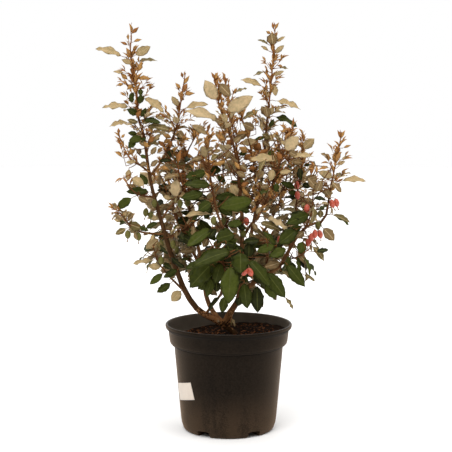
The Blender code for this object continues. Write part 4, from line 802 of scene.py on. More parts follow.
def hides_shown(*points):
    """Whether a point lies in front of a leaf or fruit that the photograph shows."""
    for point in points:
        seen = seen_at(point)
        for middle, along, half_length, half_width, depth in _plant["screens"]:
            if point.y < depth:
                gap = Vector(seen) - middle
                x, y = gap.dot(along) / half_length, gap.cross(along) / half_width
                if x * x + y * y < 1:
                    return True
    return False


def too_near(point):
    """Whether a point lies low down in front, where every leaf is one that the photograph shows."""
    return point.y < NEAR_LEAVES and point.z < LEAFY_HEIGHT


def stem_points(paths):
    """Points along every spray and the limbs that carry them, each with its name and place."""
    spots = []
    for name, path in paths.items():
        steps = 40 if name in SPRAYS else 20
        first = 0 if name in SPRAYS else 10
        for i in range(first, steps):
            spots.append((name, i / steps, point_on(path, i / steps)[0]))
    return spots


def carrier_of(pixel, spots, depth=None):
    """The stem that a leaf or shoot at a pixel grows on: the nearest that isn't above it."""
    best, found = 1e9, None
    for name, at, spot in spots:
        x, y = seen_at(spot)
        drop = y - pixel[1]
        gap = (x - pixel[0]) ** 2 + drop ** 2 * (1 if drop > 0 else 4)
        gap += (40 * max(0.0, spot.y)) ** 2 + (0 if name in SPRAYS else 30)
        if depth is not None:
            gap += (300 * (spot.y - depth)) ** 2
        if gap < best:
            best, found = gap, (name, at, spot)
    return found


def roll_towards(direction, aim):
    """The roll that turns a leaf's face as near as it goes to an aim."""
    side, face = leaf_frame(direction, 0)
    turn = atan2(aim.dot(side), aim.dot(face))
    return max((turn, -turn), key=lambda roll: leaf_frame(direction, roll)[1].dot(aim))


def settled_roll(foot, direction, stray):
    """A leaf's roll: any way high up, and low down with its upper face turned outward."""
    if foot.z > LEAFY_HEIGHT:
        return stray
    outward = Vector((foot.x, foot.y - 0.02, 0)).normalized()
    return roll_towards(direction, outward + Vector((0, 0, 0.35))) + stray * 0.6


def screen(ends, wide, depth):
    """A leaf's or berry's outline in the view and its depth, to keep clear in front."""
    foot, tip = (Vector(end) for end in ends)
    return (foot + tip) / 2, (tip - foot).normalized(), (tip - foot).length / 2, wide / 2 + 1, depth


def limb_screens(limbs):
    """The stretches of the limbs that the photograph shows, as screens."""
    screens = []
    for name, (first, last) in SHOWN_LIMBS.items():
        path, radii, *_ = limbs[name]
        share = (last - first) / LIMB_SCREENS
        for i in range(LIMB_SCREENS):
            ends = [point_on(path, first + share * (i + k))[0] for k in (-0.2, 1.2)]
            wide = 2 * radii[0] / SIGHT.distance * SIGHT.focal
            screens.append(screen([seen_at(end) for end in ends], wide, ends[0].y - radii[0]))
    return screens


def shown_leaf(row, foot, tone):
    """A leaf that covers what a row of the table says, turned to show its width to the camera."""
    eye = Vector((0, -SIGHT.distance, SIGHT.height))
    tip = point_seen((row.tip_x, row.tip_y), max(foot.y - row.lean / 1000, FRONT))
    direction = (tip - foot).normalized()
    length = (tip - foot).length
    young = tone in ("rust", "gold") and length < YOUNG_LIMIT
    seen_width = row.wide * FULLER * (foot - eye).length / SIGHT.focal
    width = max(seen_width, length * (YOUNG_WIDTH if young else SHOWN_WIDTH))
    tilt = acos(min(1.0, seen_width / width)) * 0.9
    view = eye - foot
    facing = (view - direction * view.dot(direction)).normalized()
    upward = facing.cross(direction)
    if upward.z < 0:
        upward = -upward
    roll = roll_towards(direction, facing * cos(tilt) + upward * sin(tilt))
    return Blade(foot, direction, length, width, roll, 0, young, tone)


def shown_growth(paths):
    """What the photograph shows best, each joined to its stem by a twig, and its screens."""
    spots = stem_points(paths)
    screens = []
    grown = {name: [] for name in paths}

    def carry(name, stem, foot, at, seed, root, tip):
        if (foot - stem).length > 0.003:
            grown[name].append(Twig(bowed(stem, foot, 0.08, seed), root, tip, at))

    def add_leaf(tone, row, in_front):
        pixel = (row.foot_x, row.foot_y)
        depth = -row.near / 1000
        name, at, stem = carrier_of(pixel, spots, depth if in_front else None)
        foot = point_seen(pixel, depth if in_front else max(stem.y + depth, FRONT + 0.012))
        blade = shown_leaf(row, foot, tone)
        root = 0.0008 + 0.000012 * min(80, (foot - stem).length * 1000)
        carry(name, stem, foot, at, 40 + row.foot_x, root, 0.0007)
        grown[name].append(blade)
        near = min(foot.y, (foot + blade.direction * blade.length).y) + 0.004
        screens.append(screen((pixel, (row.tip_x, row.tip_y)), row.wide, near))

    def add_berry(ripe, row, in_front):
        top_x, top_y, end_x, end_y, near = row
        depth = -near / 1000
        name, at, stem = carrier_of((top_x, top_y), spots, depth if in_front else None)
        top = point_seen((top_x, top_y), depth if in_front else max(stem.y + depth, FRONT + 0.012))
        axis = (point_seen((end_x, end_y), top.y) - top).normalized()
        grown[name].append(Berry(stem, top, axis, at, ripe))
        screens.append(screen(((top_x, top_y), (end_x, end_y)), BERRY_SEEN, top.y))

    for table, in_front in ((SHOWN, False), (IN_FRONT, True)):
        for tone, rows in table.items():
            for row in rows:
                add_leaf(tone, Shown(*row), in_front)
    for index, (foot_x, foot_y, tip_x, tip_y, near, leaves) in enumerate(SHOOTS):
        rng = Random(1900 + index)
        name, at, stem = carrier_of((foot_x, foot_y), spots)
        foot = point_seen((foot_x, foot_y), stem.y - near / 1000)
        tip = point_seen((tip_x, tip_y), foot.y - rng.uniform(-0.004, 0.008))
        carry(name, stem, foot, at, 80 + index, 0.0009, 0.0008)
        grown[name] += shoot_growth(foot, tip, leaves, at, rng)
    for ripe, rows in BERRIES.items():
        for row in rows:
            add_berry(ripe, row, False)
    for row in FRONT_BERRIES:
        add_berry(True, row, True)
    return grown, screens


def shoot_growth(foot, end, leaves, at, rng, fits=lambda point: True):
    """A young shoot with leaves up it and a tuft of three at its tip."""
    way = (end - foot).normalized()
    shoot = bowed(foot, end, 0.05, rng.uniform(0, 99))
    grown = [Twig(shoot, SHOOT_RADIUS, SHOOT_RADIUS * 0.6, at)]
    turn = rng.uniform(0, tau)
    across = way.orthogonal().normalized()
    places = [0.30 + 0.55 * i / max(1, leaves - 1) for i in range(leaves)] + [1.0] * 3
    for place in places:
        tuft = place == 1
        turn += tau / 3 if tuft else GOLDEN_ANGLE
        spread = radians(rng.uniform(10, 32) if tuft else rng.uniform(35, 62))
        out = Matrix.Rotation(turn, 3, way) @ across
        direction = (way * cos(spread) + out * sin(spread)).normalized()
        length = YOUNG_LENGTH * rng.uniform(0.7, 1.3)
        root = point_on(shoot, place)[0]
        if fits(root + direction * length):
            width = length * rng.uniform(0.26, 0.38)
            tone = "rust" if rng.random() < 0.45 else "gold"
            grown.append(Blade(root, direction, length, width, rng.gauss(0, 0.7), at, True, tone))
    return grown


def finer_growth(name, path, spaces, grown):
    """Short young shoots above, hanging leaves below, in the spray's own room and out of the sky."""
    spray = SPRAYS[name]
    finer = []

    def free(points, reach):
        if any(too_near(p) for p in points):
            return False
        roomy = spaces.roomy(name, points, reach) and not in_the_open(*points)
        return roomy and not hides_shown(*points)

    def add_shoot(foot, axis, length, leaves, at, rng):
        end = foot + (axis + Vector((0, 0, 0.5))).normalized() * length
        if free([foot.lerp(end, 0.5), end], spray.reach * FINE_REACH):
            fits = lambda point: free([point], None)
            finer.extend(shoot_growth(foot, end, leaves, at, rng, fits))

    def add_hanging(foot, bearing, size, at, rng, twig=0.030, reach=1.3, tones=None):
        end = foot + heading(bearing, rng.uniform(-0.2, 0.5)) * rng.uniform(0.004, twig)
        direction = heading(bearing + rng.uniform(-0.5, 0.5), radians(rng.uniform(-62, 8)))
        for smaller in SMALLER:
            length = size * smaller
            tip = end + direction * length
            if free([end.lerp(tip, 0.55), end.lerp(tip, 0.85)], spray.reach * reach):
                finer.append(Twig([foot, end], TIP_RADIUS, TIP_RADIUS * 0.9, at))
                width = length * rng.uniform(0.33, 0.46)
                tone = rng.choice(tones) if tones else tone_of(end, False, rng)
                roll = settled_roll(end, direction, rng.gauss(0, 0.35))
                finer.append(Blade(end, direction, length, width, roll, at, False, tone))
                return

    for k, (at, bearing, rise, size, _) in enumerate(nodes_of(name)):
        rng = Random(spray.seed * 5000 + k)
        for half, turn in ((0.0, pi * 0.62), (0.5, 2.2)):
            foot, along = point_on(path, min(0.99, at + half / spray.nodes))
            leafy = min(1.0, max(0.0, (LEAFY_HEIGHT - foot.z) / 0.09))
            if rng.random() < leafy:
                for side in (-0.5, 0.5):
                    add_hanging(foot, bearing + turn + side, size * rng.uniform(0.7, 1.2), at, rng)
            else:
                axis = (heading(bearing + turn, rise * 0.5) + along * 0.5).normalized()
                length = spray.reach * rng.uniform(0.35, 0.85) * (1.05 - 0.75 * at)
                add_shoot(foot, axis, length, int(length / 0.013), at, rng)
    for k in range(HEART_LEAVES):
        rng = Random(spray.seed * 9000 + k)
        at = (k + 0.5) / HEART_LEAVES
        foot, _ = point_on(path, at)
        across = abs(foot.x - HEART_MIDDLE)
        if HEART[0] < foot.z < HEART[1] and across < HEART_REACH and foot.y < HEART_BACK:
            size = spray.low * rng.uniform(0.4, 0.85)
            add_hanging(foot, k * GOLDEN_ANGLE, size, at, rng, 0.055, 1.9, HEART_TONES)
            end = foot + heading(k * 2.1, rng.uniform(-0.3, 1.1)) * rng.uniform(0.025, 0.065)
            if not in_the_open(end, foot.lerp(end, 0.5)) and not hides_shown(end, foot.lerp(end, 0.5)):
                finer.append(Twig(bowed(foot, end, 0.08, k), TWIG_RADIUS, TIP_RADIUS, 0))
    for k, twig in enumerate([g for g in grown if isinstance(g, Twig)]):
        rng = Random(spray.seed * 7000 + k)
        end = twig.path[-1]
        axis = (end - twig.path[0]).normalized()
        if end.z > LEAFY_HEIGHT - 0.05:
            add_shoot(end, axis, rng.uniform(0.006, 0.016), 1, twig.at, rng)
        for along in (0.4, 0.8):
            foot, _ = point_on(twig.path, along)
            bearing = atan2(axis.y, axis.x) + rng.choice((-1, 1)) * rng.uniform(0.5, 1.3)
            if rng.random() < (LEAFY_HEIGHT - foot.z) / 0.09:
                add_hanging(foot, bearing, spray.low * rng.uniform(0.9, 1.15), twig.at, rng)
    return finer


class Pile:
    """Points and faces gathered into one mesh, with a material slot for each face."""

    def __init__(self):
        self.points, self.faces, self.slots = [], [], []

    def add(self, points, faces, slot=0):
        base = len(self.points)
        self.points.extend(points)
        self.faces.extend(tuple(base + i for i in face) for face in faces)
        self.slots.extend(slot if isinstance(slot, list) else [slot] * len(faces))

    def make_stage(self, name, material):
        """The gathered mesh as one object that isn't part of the shrub."""
        return self.object_of(name, [material])

    def make(self, name, materials, slot, nodes=(), sharp=None):
        """The gathered mesh as one object that rides on the part."""
        obj = self.object_of(name, materials)
        if sharp is not None:
            obj.data.set_sharp_from_angle(angle=sharp)
        return placed(obj, nodes)

    def object_of(self, name, materials):
        """The gathered mesh as one smooth object."""
        mesh = bpy.data.meshes.new(name)
        mesh.from_pydata(*[self.points, [], self.faces])
        for material in materials:
            mesh.materials.append(material)
        mesh.polygons.foreach_set("material_index", self.slots)
        mesh.polygons.foreach_set("use_smooth", [True] * len(self.faces))
        obj = bpy.data.objects.new(name, mesh)
        bpy.context.scene.collection.objects.link(obj)
        mesh.update()
        return obj


def placed(obj, nodes=()):
    """Let an object ride on the part and stand for the nodes that it replaces."""
    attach(obj, ROOT)
    if nodes:
        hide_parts(*nodes)
    return obj


# Where the columns of a leaf's mesh lie, from margin to margin, and how many rows it has
ADULT_COLUMNS = (-1, -0.52, -0.06, 0.06, 0.52, 1)
ADULT_ROWS = 7
YOUNG_COLUMNS = (-1, 0, 1)
YOUNG_ROWS = 3
TOP, UNDER, RIB = 0, 1, 2


def blade_mesh(blade, sizes, rng):
    """A leaf blade: two skins that meet at the margin, folded along the rib, arched and waved."""
    side, face = leaf_frame(blade.direction, blade.roll)
    columns = YOUNG_COLUMNS if blade.young else ADULT_COLUMNS
    rows = YOUNG_ROWS if blade.young else ADULT_ROWS
    stalk = blade.length * (0.05 if blade.young else sizes.petiole)
    start = blade.foot + blade.direction * stalk
    length = blade.length - stalk
    fold = sizes.fold * rng.uniform(0.4, 1.5) * (2.6 if blade.young else 1.0)
    phase, waves = rng.uniform(0, tau), rng.uniform(1.6, 3.0)
    wave = sizes.wave * blade.width * (0.3 if blade.young else rng.uniform(0.6, 1.5))
    curl = rng.uniform(-0.02, 0.16) * length
    sway = rng.uniform(-0.06, 0.06) * length
    thick = sizes.thickness * (0.6 if blade.young else 1.0)
    tops, unders = [], []
    points = [start]
    for i in range(1, rows + 1):
        t = i / (rows + 1)
        half = blade.width / 2 * sin(pi * t ** 0.92) ** (1.6 if blade.young else 0.80)
        bow = LEAF_ARCH * 4 * t * (1 - t) * length - curl * t * t
        middle = start + blade.direction * length * t + side * (sway * t * t) + face * bow
        top_row, under_row = [], []
        for c in columns:
            swing = phase + c * 1.9 + waves * tau * t
            reach = half * c * (1 + (0.09 * sin(swing * 1.7) if abs(c) == 1 else 0))
            rise = fold * half * abs(c) ** 1.4 + wave * c * c * sin(swing)
            top_row.append(len(points))
            points.append(middle + side * reach + face * rise)
        for c, index in zip(columns, list(top_row)):
            if abs(c) == 1:
                under_row.append(index)
            else:
                under_row.append(len(points))
                points.append(points[index] - face * thick)
        tops.append(top_row)
        unders.append(under_row)
    tip = len(points)
    points.append(start + blade.direction * length + side * sway - face * curl)
    faces, slots = [], []
    for grid, slot, turned_over in ((tops, TOP, False), (unders, UNDER, True)):
        for c in range(len(columns) - 1):
            strip = [(0, grid[0][c + 1], grid[0][c])]
            for low, high in zip(grid, grid[1:]):
                strip.append((low[c], low[c + 1], high[c + 1]))
                strip.append((low[c], high[c + 1], high[c]))
            strip.append((tip, grid[-1][c], grid[-1][c + 1]))
            faces += [tuple(reversed(f)) for f in strip] if turned_over else strip
            rib = not blade.young and c == len(columns) // 2 - 1
            slots += [RIB if rib and slot == TOP else slot] * len(strip)
    return points, faces, slots


def bowed(foot, end, share, seed):
    """A gently bowed path between two points, lower in the middle."""
    rng = Random(seed)
    span = end - foot
    across = span.cross(Vector((0, 0, 1)))
    across = across.normalized() if across.length > 1e-6 else Vector((1, 0, 0))
    bow = across * rng.uniform(-0.7, 0.7) - Vector((0, 0, 1)) * rng.uniform(0.2, 1)
    bow *= span.length * share
    return [foot + span * t + bow * 4 * t * (1 - t) for t in (0, 0.25, 0.5, 0.75, 1)]


def bark_tube(path, radii, sides, directions, relief, seed):
    """A limb with bark: ridges and hollows along a tube."""
    across = directions[0].orthogonal().normalized()
    points = []
    travelled = 0.0
    for i, (centre, direction, radius) in enumerate(zip(path, directions, radii)):
        if i:
            travelled += (path[i] - path[i - 1]).length
        across = (across - direction * across.dot(direction)).normalized()
        up = direction.cross(across)
        for k in range(sides):
            turn = tau * k / sides
            out = across * cos(turn) + up * sin(turn)
            ridge = noise.noise(Vector((cos(turn) * 2.2, sin(turn) * 2.2, travelled * 45 + seed)))
            knot = noise.noise(Vector((cos(turn), sin(turn), travelled * 160 - seed)))
            grow = 1 + relief * (ridge + 0.6 * knot)
            points.append(centre + out * radius * grow)
    faces = [tuple(reversed(range(sides)))]
    for i in range(len(path) - 1):
        for k in range(sides):
            a = i * sides + k
            b = i * sides + (k + 1) % sides
            faces.append((a, b, b + sides, a + sides))
    last = (len(path) - 1) * sides
    faces.append(tuple(range(last, last + sides)))
    return points, faces


def resampled(path, spacing):
    """A path with points at even spacing."""
    total = sum((b - a).length for a, b in zip(path, path[1:]))
    count = max(2, int(total / spacing))
    return [point_on(path, i / count)[0] for i in range(count + 1)]


_plant = {}


def plant():
    """The grown plant, made once: its paths, limbs and what each spray bears."""
    if "growth" in _plant:
        return _plant
    paths = {}
    for name in (*LIMBS, *SPRAYS):
        paths[name] = limb_path(name, paths)
    limbs = {}
    for name, limb in LIMBS.items():
        path = paths[name]
        radii = crown_radii(path) if limb.carrier is None else taper(len(path), limb.root, limb.tip)
        limbs[name] = (path, radii, CUT_SIDES, growth_directions(limb, path, paths))
    spaces = Spaces(paths, limbs)
    shown, screens = shown_growth(paths)
    _plant["screens"] = screens + limb_screens(limbs)
    growth = {}
    for name in SPRAYS:
        grown = ruled_growth(name, paths[name], spaces)
        grown = [item for item in grown if not hides_sky(item)]
        growth[name] = grown + finer_growth(name, paths[name], spaces, grown)
    for name, items in shown.items():
        growth[name] = growth.get(name, []) + items
    _plant.update(paths=paths, limbs=limbs, growth=growth)
    return _plant


def shader_group(name, inputs, outputs):
    """A shader node group with named sockets, built once, and whether it is new."""
    tree = bpy.data.node_groups.get(name)
    if tree:
        return tree, None, None
    tree = bpy.data.node_groups.new(name, "ShaderNodeTree")
    for label, kind, default in inputs:
        socket = tree.interface.new_socket(label, in_out="INPUT", socket_type=kind)
        socket.default_value = default
    for label, kind in outputs:
        tree.interface.new_socket(label, in_out="OUTPUT", socket_type=kind)
    return tree, tree.nodes.new("NodeGroupInput"), tree.nodes.new("NodeGroupOutput")


def add_node(tree, kind, settings=None, **links):
    """A node with its settings, and its inputs linked or given values."""
    node = tree.nodes.new(kind)
    for key, value in (settings or {}).items():
        setattr(node, key, value)
    for label, value in links.items():
        socket = node.inputs[label.replace("_", " ")]
        if isinstance(value, bpy.types.NodeSocket):
            tree.links.new(value, socket)
        else:
            socket.default_value = value
    return node


def math_node(tree, operation, first, second=0.0, clamp=False):
    """The result of a sum on two values."""
    node = tree.nodes.new("ShaderNodeMath")
    node.operation = operation
    node.use_clamp = clamp
    for socket, value in zip(node.inputs, (first, second)):
        if isinstance(value, bpy.types.NodeSocket):
            tree.links.new(value, socket)
        else:
            socket.default_value = value
    return node.outputs[0]


def grain_group():
    """Fine grain: a mottled mask and a height, at one scale, stretched as asked."""
    tree, given, made = shader_group(
        "Fine grain",
        [("Scale", "NodeSocketFloat", 100.0), ("Stretch", "NodeSocketVector", (1, 1, 1)),
         ("Contrast", "NodeSocketFloat", 2.0)],
        [("Mask", "NodeSocketFloat"), ("Height", "NodeSocketFloat")])
    if given is None:
        return tree
    place = add_node(tree, "ShaderNodeTexCoord")
    turned_to = add_node(tree, "ShaderNodeMapping", None, Vector=place.outputs["Object"])
    tree.links.new(given.outputs["Stretch"], turned_to.inputs["Scale"])
    coarse = add_node(
        tree, "ShaderNodeTexNoise", None, Vector=turned_to.outputs[0],
        Scale=given.outputs["Scale"], Detail=5.0, Roughness=0.6)
    spread = math_node(tree, "SUBTRACT", coarse.outputs["Fac"], 0.5)
    spread = math_node(tree, "MULTIPLY", spread, given.outputs["Contrast"])
    mask = math_node(tree, "ADD", spread, 0.5, clamp=True)
    tree.links.new(mask, made.inputs["Mask"])
    tree.links.new(coarse.outputs["Fac"], made.inputs["Height"])
    return tree


def dust_group():
    """Dried soil dust: patches broken up by fine specks, thicker low down."""
    tree, given, made = shader_group(
        "Soil dust", [("Amount", "NodeSocketFloat", 0.5), ("Scale", "NodeSocketFloat", 12.0)],
        [("Mask", "NodeSocketFloat")])
    if given is None:
        return tree
    place = add_node(tree, "ShaderNodeTexCoord").outputs["Object"]
    patches = add_node(
        tree, "ShaderNodeTexNoise", None, Vector=place, Scale=given.outputs["Scale"],
        Detail=6.0, Roughness=0.65)
    specks = add_node(tree, "ShaderNodeTexNoise", None, Vector=place, Scale=420.0, Detail=2.0)
    runs = add_node(tree, "ShaderNodeMapping", None, Vector=place, Scale=(1.0, 1.0, 0.12))
    streaks = add_node(
        tree, "ShaderNodeTexNoise", None, Vector=runs.outputs[0], Scale=40.0, Detail=3.0)
    height = add_node(tree, "ShaderNodeSeparateXYZ", None, Vector=place).outputs["Z"]
    low = add_node(
        tree, "ShaderNodeMapRange", {"interpolation_type": "SMOOTHSTEP"}, Value=height,
        From_Min=0.110, From_Max=0.000, To_Min=0.10, To_Max=1.0).outputs[0]
    mask = math_node(tree, "MULTIPLY", patches.outputs["Fac"], specks.outputs["Fac"])
    mask = math_node(tree, "MULTIPLY", mask, streaks.outputs["Fac"])
    mask = math_node(tree, "MULTIPLY", mask, 9.0)
    mask = math_node(tree, "SUBTRACT", mask, 0.30, clamp=True)
    mask = math_node(tree, "MULTIPLY", mask, low)
    mask = math_node(tree, "MULTIPLY", mask, given.outputs["Amount"], clamp=True)
    tree.links.new(mask, made.inputs["Mask"])
    return tree


def finish(name, colour, roughness, second=None, scale=100.0, stretch=(1, 1, 1), contrast=2.0,
           depth=0.0, rough_swing=0.1, dust=None, coat=0.0, specular=0.5, sheen=0.0):
    """A material of two mottled colours with grain in its roughness and height, and any dust."""
    material = bpy.data.materials.get(name)
    if material:
        return material
    material = bpy.data.materials.new(name)
    material.use_nodes = True
    tree = material.node_tree
    shader = tree.nodes["Principled BSDF"]
    shader.inputs["Metallic"].default_value = 0.0
    shader.inputs["Coat Weight"].default_value = coat
    shader.inputs["Coat Roughness"].default_value = 0.35
    shader.inputs["Specular IOR Level"].default_value = specular
    if sheen:
        shader.inputs["Sheen Weight"].default_value = sheen
        shader.inputs["Sheen Roughness"].default_value = 0.45
        shader.inputs["Sheen Tint"].default_value = (*DUSTY_SHEEN, 1)
    grain = tree.nodes.new("ShaderNodeGroup")
    grain.node_tree = grain_group()
    grain.inputs["Scale"].default_value = scale
    grain.inputs["Stretch"].default_value = stretch
    grain.inputs["Contrast"].default_value = contrast
    mask = grain.outputs["Mask"]
    mixed = None
    if second:
        mixed = mix_colours(tree, mask, (*colour, 1), (*second, 1))
    rough = math_node(tree, "MULTIPLY", mask, rough_swing)
    rough = math_node(tree, "ADD", rough, roughness - rough_swing / 2, clamp=True)
    if dust:
        dusty = tree.nodes.new("ShaderNodeGroup")
        dusty.node_tree = dust_group()
        dusty.inputs["Amount"].default_value = dust[1]
        mixed = mix_colours(tree, dusty.outputs["Mask"], mixed or (*colour, 1), (*dust[0], 1))
        lift = math_node(tree, "MULTIPLY", dusty.outputs["Mask"], 0.35)
        rough = math_node(tree, "ADD", rough, lift, clamp=True)
    if mixed is None:
        shader.inputs["Base Color"].default_value = (*colour, 1)
    else:
        tree.links.new(mixed, shader.inputs["Base Color"])
    tree.links.new(rough, shader.inputs["Roughness"])
    if depth:
        bump = add_node(
            tree, "ShaderNodeBump", None, Strength=0.6, Distance=depth,
            Height=grain.outputs["Height"])
        tree.links.new(bump.outputs["Normal"], shader.inputs["Normal"])
    return material


def mix_colours(tree, factor, first, second):
    """A colour between two, by a factor."""
    node = tree.nodes.new("ShaderNodeMix")
    node.data_type = "RGBA"
    tree.links.new(factor, node.inputs[0])
    for socket, value in ((node.inputs[6], first), (node.inputs[7], second)):
        if isinstance(value, bpy.types.NodeSocket):
            tree.links.new(value, socket)
        else:
            socket.default_value = value
    return node.outputs[2]


def colour(label, value):
    """A colour property."""
    return FloatVectorProperty(
        name=label, description=f"{label} colour, linear", subtype="COLOR", size=3, min=0, max=1,
        default=value)


class PotSizes(PropertyGroup):
    """Pot, label and soil."""

    sides: IntProperty(name="Sides", description="Facets round the pot", default=128, min=24)
    plastic: colour("Plastic", (0.0026, 0.0021, 0.0017))
    worn: colour("Worn plastic", (0.0085, 0.0068, 0.0053))
    # Painted shade: the colour of the faces under the collar and the rim, which get little sheen
    underside: colour("Painted shade under the collar", (0.0072, 0.0059, 0.0048))
    # The inside wall: soil-stained brown, painted paler still as painted light over its shade
    inside: colour("Inside", (0.1800, 0.1520, 0.1200))
    # Painted highlight: the paler colour along the rim's top
    lip: colour("Lip with painted highlight", (0.060, 0.052, 0.044))
    dust: colour("Dust", (0.075, 0.047, 0.028))
    dust_amount: FloatProperty(
        name="Dust amount", description="How much dried soil shows", default=0.60, min=0, max=1,
        subtype="FACTOR")
    label: colour("Label", (0.725, 0.630, 0.540))
    soil: colour("Soil", (0.0160, 0.0090, 0.0055))
    crumbs: colour("Crumbs", (0.022, 0.0110, 0.0062))
    chips: colour("Bark chips", (0.230, 0.085, 0.030))
    crumb_density: FloatProperty(
        name="Crumb density", description="Crumbs on a square metre of soil", default=52000.0)
    chip_density: FloatProperty(
        name="Chip density", description="Bark chips on a square metre of soil", default=14000.0)


class BarkSizes(PropertyGroup):
    """Limbs and twigs."""

    sides: IntProperty(name="Sides", description="Facets round a limb", default=18, min=6)
    spacing: FloatProperty(
        name="Spacing", description="Distance between rings along a limb", default=0.0032,
        min=0.001, unit="LENGTH")
    relief: FloatProperty(
        name="Relief", description="Depth of the bark as a share of the radius", default=0.085)
    bark: colour("Bark", (0.118, 0.051, 0.019))
    bark_pale: colour("Bark scales", (0.210, 0.104, 0.043))
    twig: colour("Twig", (0.145, 0.060, 0.023))
    shoot: colour("Young shoot", (0.260, 0.098, 0.030))
    cut_wood: colour("Cut wood", (0.420, 0.300, 0.170))


class LeafSizes(PropertyGroup):
    """Leaves."""

    petiole: FloatProperty(
        name="Petiole", description="Stalk as a share of the leaf's length", default=0.10)
    fold: FloatProperty(
        name="Fold", description="Rise of the margin as a share of the half width", default=0.26)
    wave: FloatProperty(
        name="Wave", description="Wave of the margin as a share of the width", default=0.12)
    thickness: FloatProperty(
        name="Thickness", description="Thickness at the rib", default=0.0004, unit="LENGTH")
    gloss: FloatProperty(
        name="Gloss", description="Specular level of the leaves", default=0.075, min=0, max=1)
    deep: colour("Deep green", (0.0285, 0.0368, 0.0047))
    shade: colour("Shaded green", (0.0145, 0.0175, 0.0030))
    fresh: colour("Fresh green", (0.0440, 0.0570, 0.0078))
    olive: colour("Olive green", (0.125, 0.100, 0.036))
    # Brown leaves, darkened as painted shade
    brown_and_painted_shade: colour("Brown-grey with painted shade", (0.176, 0.123, 0.055))
    tan: colour("Tan", (0.325, 0.250, 0.122))
    beige: colour("Beige", (0.385, 0.303, 0.164))
    under: colour("Underside", (0.390, 0.312, 0.170))
    # The green leaves' undersides, painted darker: painted shade
    under_painted_shade: colour("Underside in painted shade", (0.240, 0.185, 0.090))
    rib: colour("Rib", (0.056, 0.066, 0.015))
    rust: colour("Rusty young leaf", (0.250, 0.110, 0.032))
    gold: colour("Golden young leaf", (0.360, 0.200, 0.062))
    young_under: colour("Young underside", (0.370, 0.200, 0.066))


class FruitSizes(PropertyGroup):
    """Fruit."""

    length: FloatProperty(
        name="Length", description="Length of a berry", default=FRUIT_LENGTH, unit="LENGTH")
    width: FloatProperty(
        name="Width", description="Width of a berry", default=FRUIT_WIDTH * 1.35, unit="LENGTH")
    ripe: colour("Ripe", (0.440, 0.066, 0.032))
    unripe: colour("Unripe", (0.098, 0.091, 0.023))
    tail: colour("Dried tail", (0.300, 0.165, 0.070))


class StageSizes(PropertyGroup):
    """Camera and lights."""

    distance: FloatProperty(
        name="Distance", description="Camera to the pot's middle", default=2.5, unit="LENGTH")
    height: FloatProperty(
        name="Height", description="Camera above the ground", default=0.6956, unit="LENGTH")
    pitch: FloatProperty(
        name="Pitch", description="Camera's tilt below the level", default=0.1091, unit="ROTATION")
    lens: FloatProperty(
        name="Lens", description="Focal length on a 36 mm sensor", default=97.6, unit="CAMERA")
    front: FloatProperty(
        name="Front", description="Strength of the surroundings in front", default=0.14, min=0)
    back: FloatProperty(
        name="Back", description="Strength of the surroundings behind", default=0.75, min=0)
    above: FloatProperty(
        name="Above", description="Strength added overhead", default=0.35, min=0)
    key: FloatProperty(
        name="Lamps", description="Strength of the lamps together", default=2.9, min=0)


# The pot's wall from the middle of its underside to its inner floor, as (radius, height)
POT_WALL = (
    (0.0, 0.0), (0.0620, 0.0), (0.0880, 0.0), (0.0912, 0.0006), (0.0935, 0.0022),
    (0.0951, 0.0050), (0.0963, 0.0088), (0.0977, 0.0135), (0.0993, 0.0240), (0.1025, 0.0585),
    (0.1056, 0.0940), (0.1087, 0.1290), (0.1115, 0.1600), (0.1125, 0.1742), (0.1131, 0.1758),
    (0.1160, 0.1770), (0.1190, 0.1786), (0.1209, 0.1808), (0.1219, 0.1840), (0.1227, 0.1895),
    (0.1236, 0.1970), (0.1242, 0.2040), (0.1247, 0.2070), (0.1262, 0.2088), (0.1283, 0.2104),
    (0.1299, 0.2123), (0.1307, 0.2146), (0.1309, 0.2170), (0.1306, 0.2188), (0.1296, 0.2200),
    (0.1278, 0.2203), (0.1264, 0.2196), (0.1253, 0.2178), (0.1246, 0.2140), (0.1225, 0.2060),
    (0.1212, 0.1960), (0.1198, 0.1850), (0.1160, 0.1800), (0.1112, 0.1765), (0.1035, 0.0990),
    (0.0952, 0.0195), (0.0915, 0.0150), (0.0, 0.0150),
)
INNER_SIDE = tuple(reversed(POT_WALL[POT_WALL.index((0.1246, 0.2140)):-1]))
POT_RECESSES = 6
RECESS_SIZE = (0.0520, 0.0290, 0.0244)
RECESS_RADIUS = 0.0905
RECESS_OFF_FOOT = radians(33)
RECESS_ROUNDING = 0.0035

# The tint of the sheen on dusty plastic
DUSTY_SHEEN = (0.90, 0.62, 0.40)

# The label's centre on the pot's wall, its size and its lean
LABEL_TURN = radians(-60)
LABEL_HEIGHT = 0.088
LABEL_SIZE = (0.062, 0.0355)
LABEL_LEAN = radians(12)


def wall_radius(wall, height):
    """The radius of a wall at a height, where the wall rises."""
    for (r1, z1), (r2, z2) in zip(wall, wall[1:]):
        if z1 <= height <= z2 and z2 > z1:
            return r1 + (r2 - r1) * (height - z1) / (z2 - z1)
    raise ValueError("height outside the wall")


def ground_height(x, y):
    """The soil's surface: higher at the right wall, lower at the left, level at the crown."""
    lumps = sin(x * 95 + 1.3) * sin(y * 80 + 0.4) + 0.6 * sin(x * 170 - y * 140)
    across = x / 0.118
    height = 0.0045 + 0.0010 * lumps + across * (0.0065 if across > 0 else 0.0100)
    away = (Vector((x, y)) - CROWN.xy).length
    level = SOIL_LEVEL + height * min(1.0, max(0.0, (away - 0.024) / 0.03))
    spot = Vector((x, y, 0))
    return level + 0.0016 * noise.noise(spot * 70) + 0.0010 * noise.noise(spot * 190)


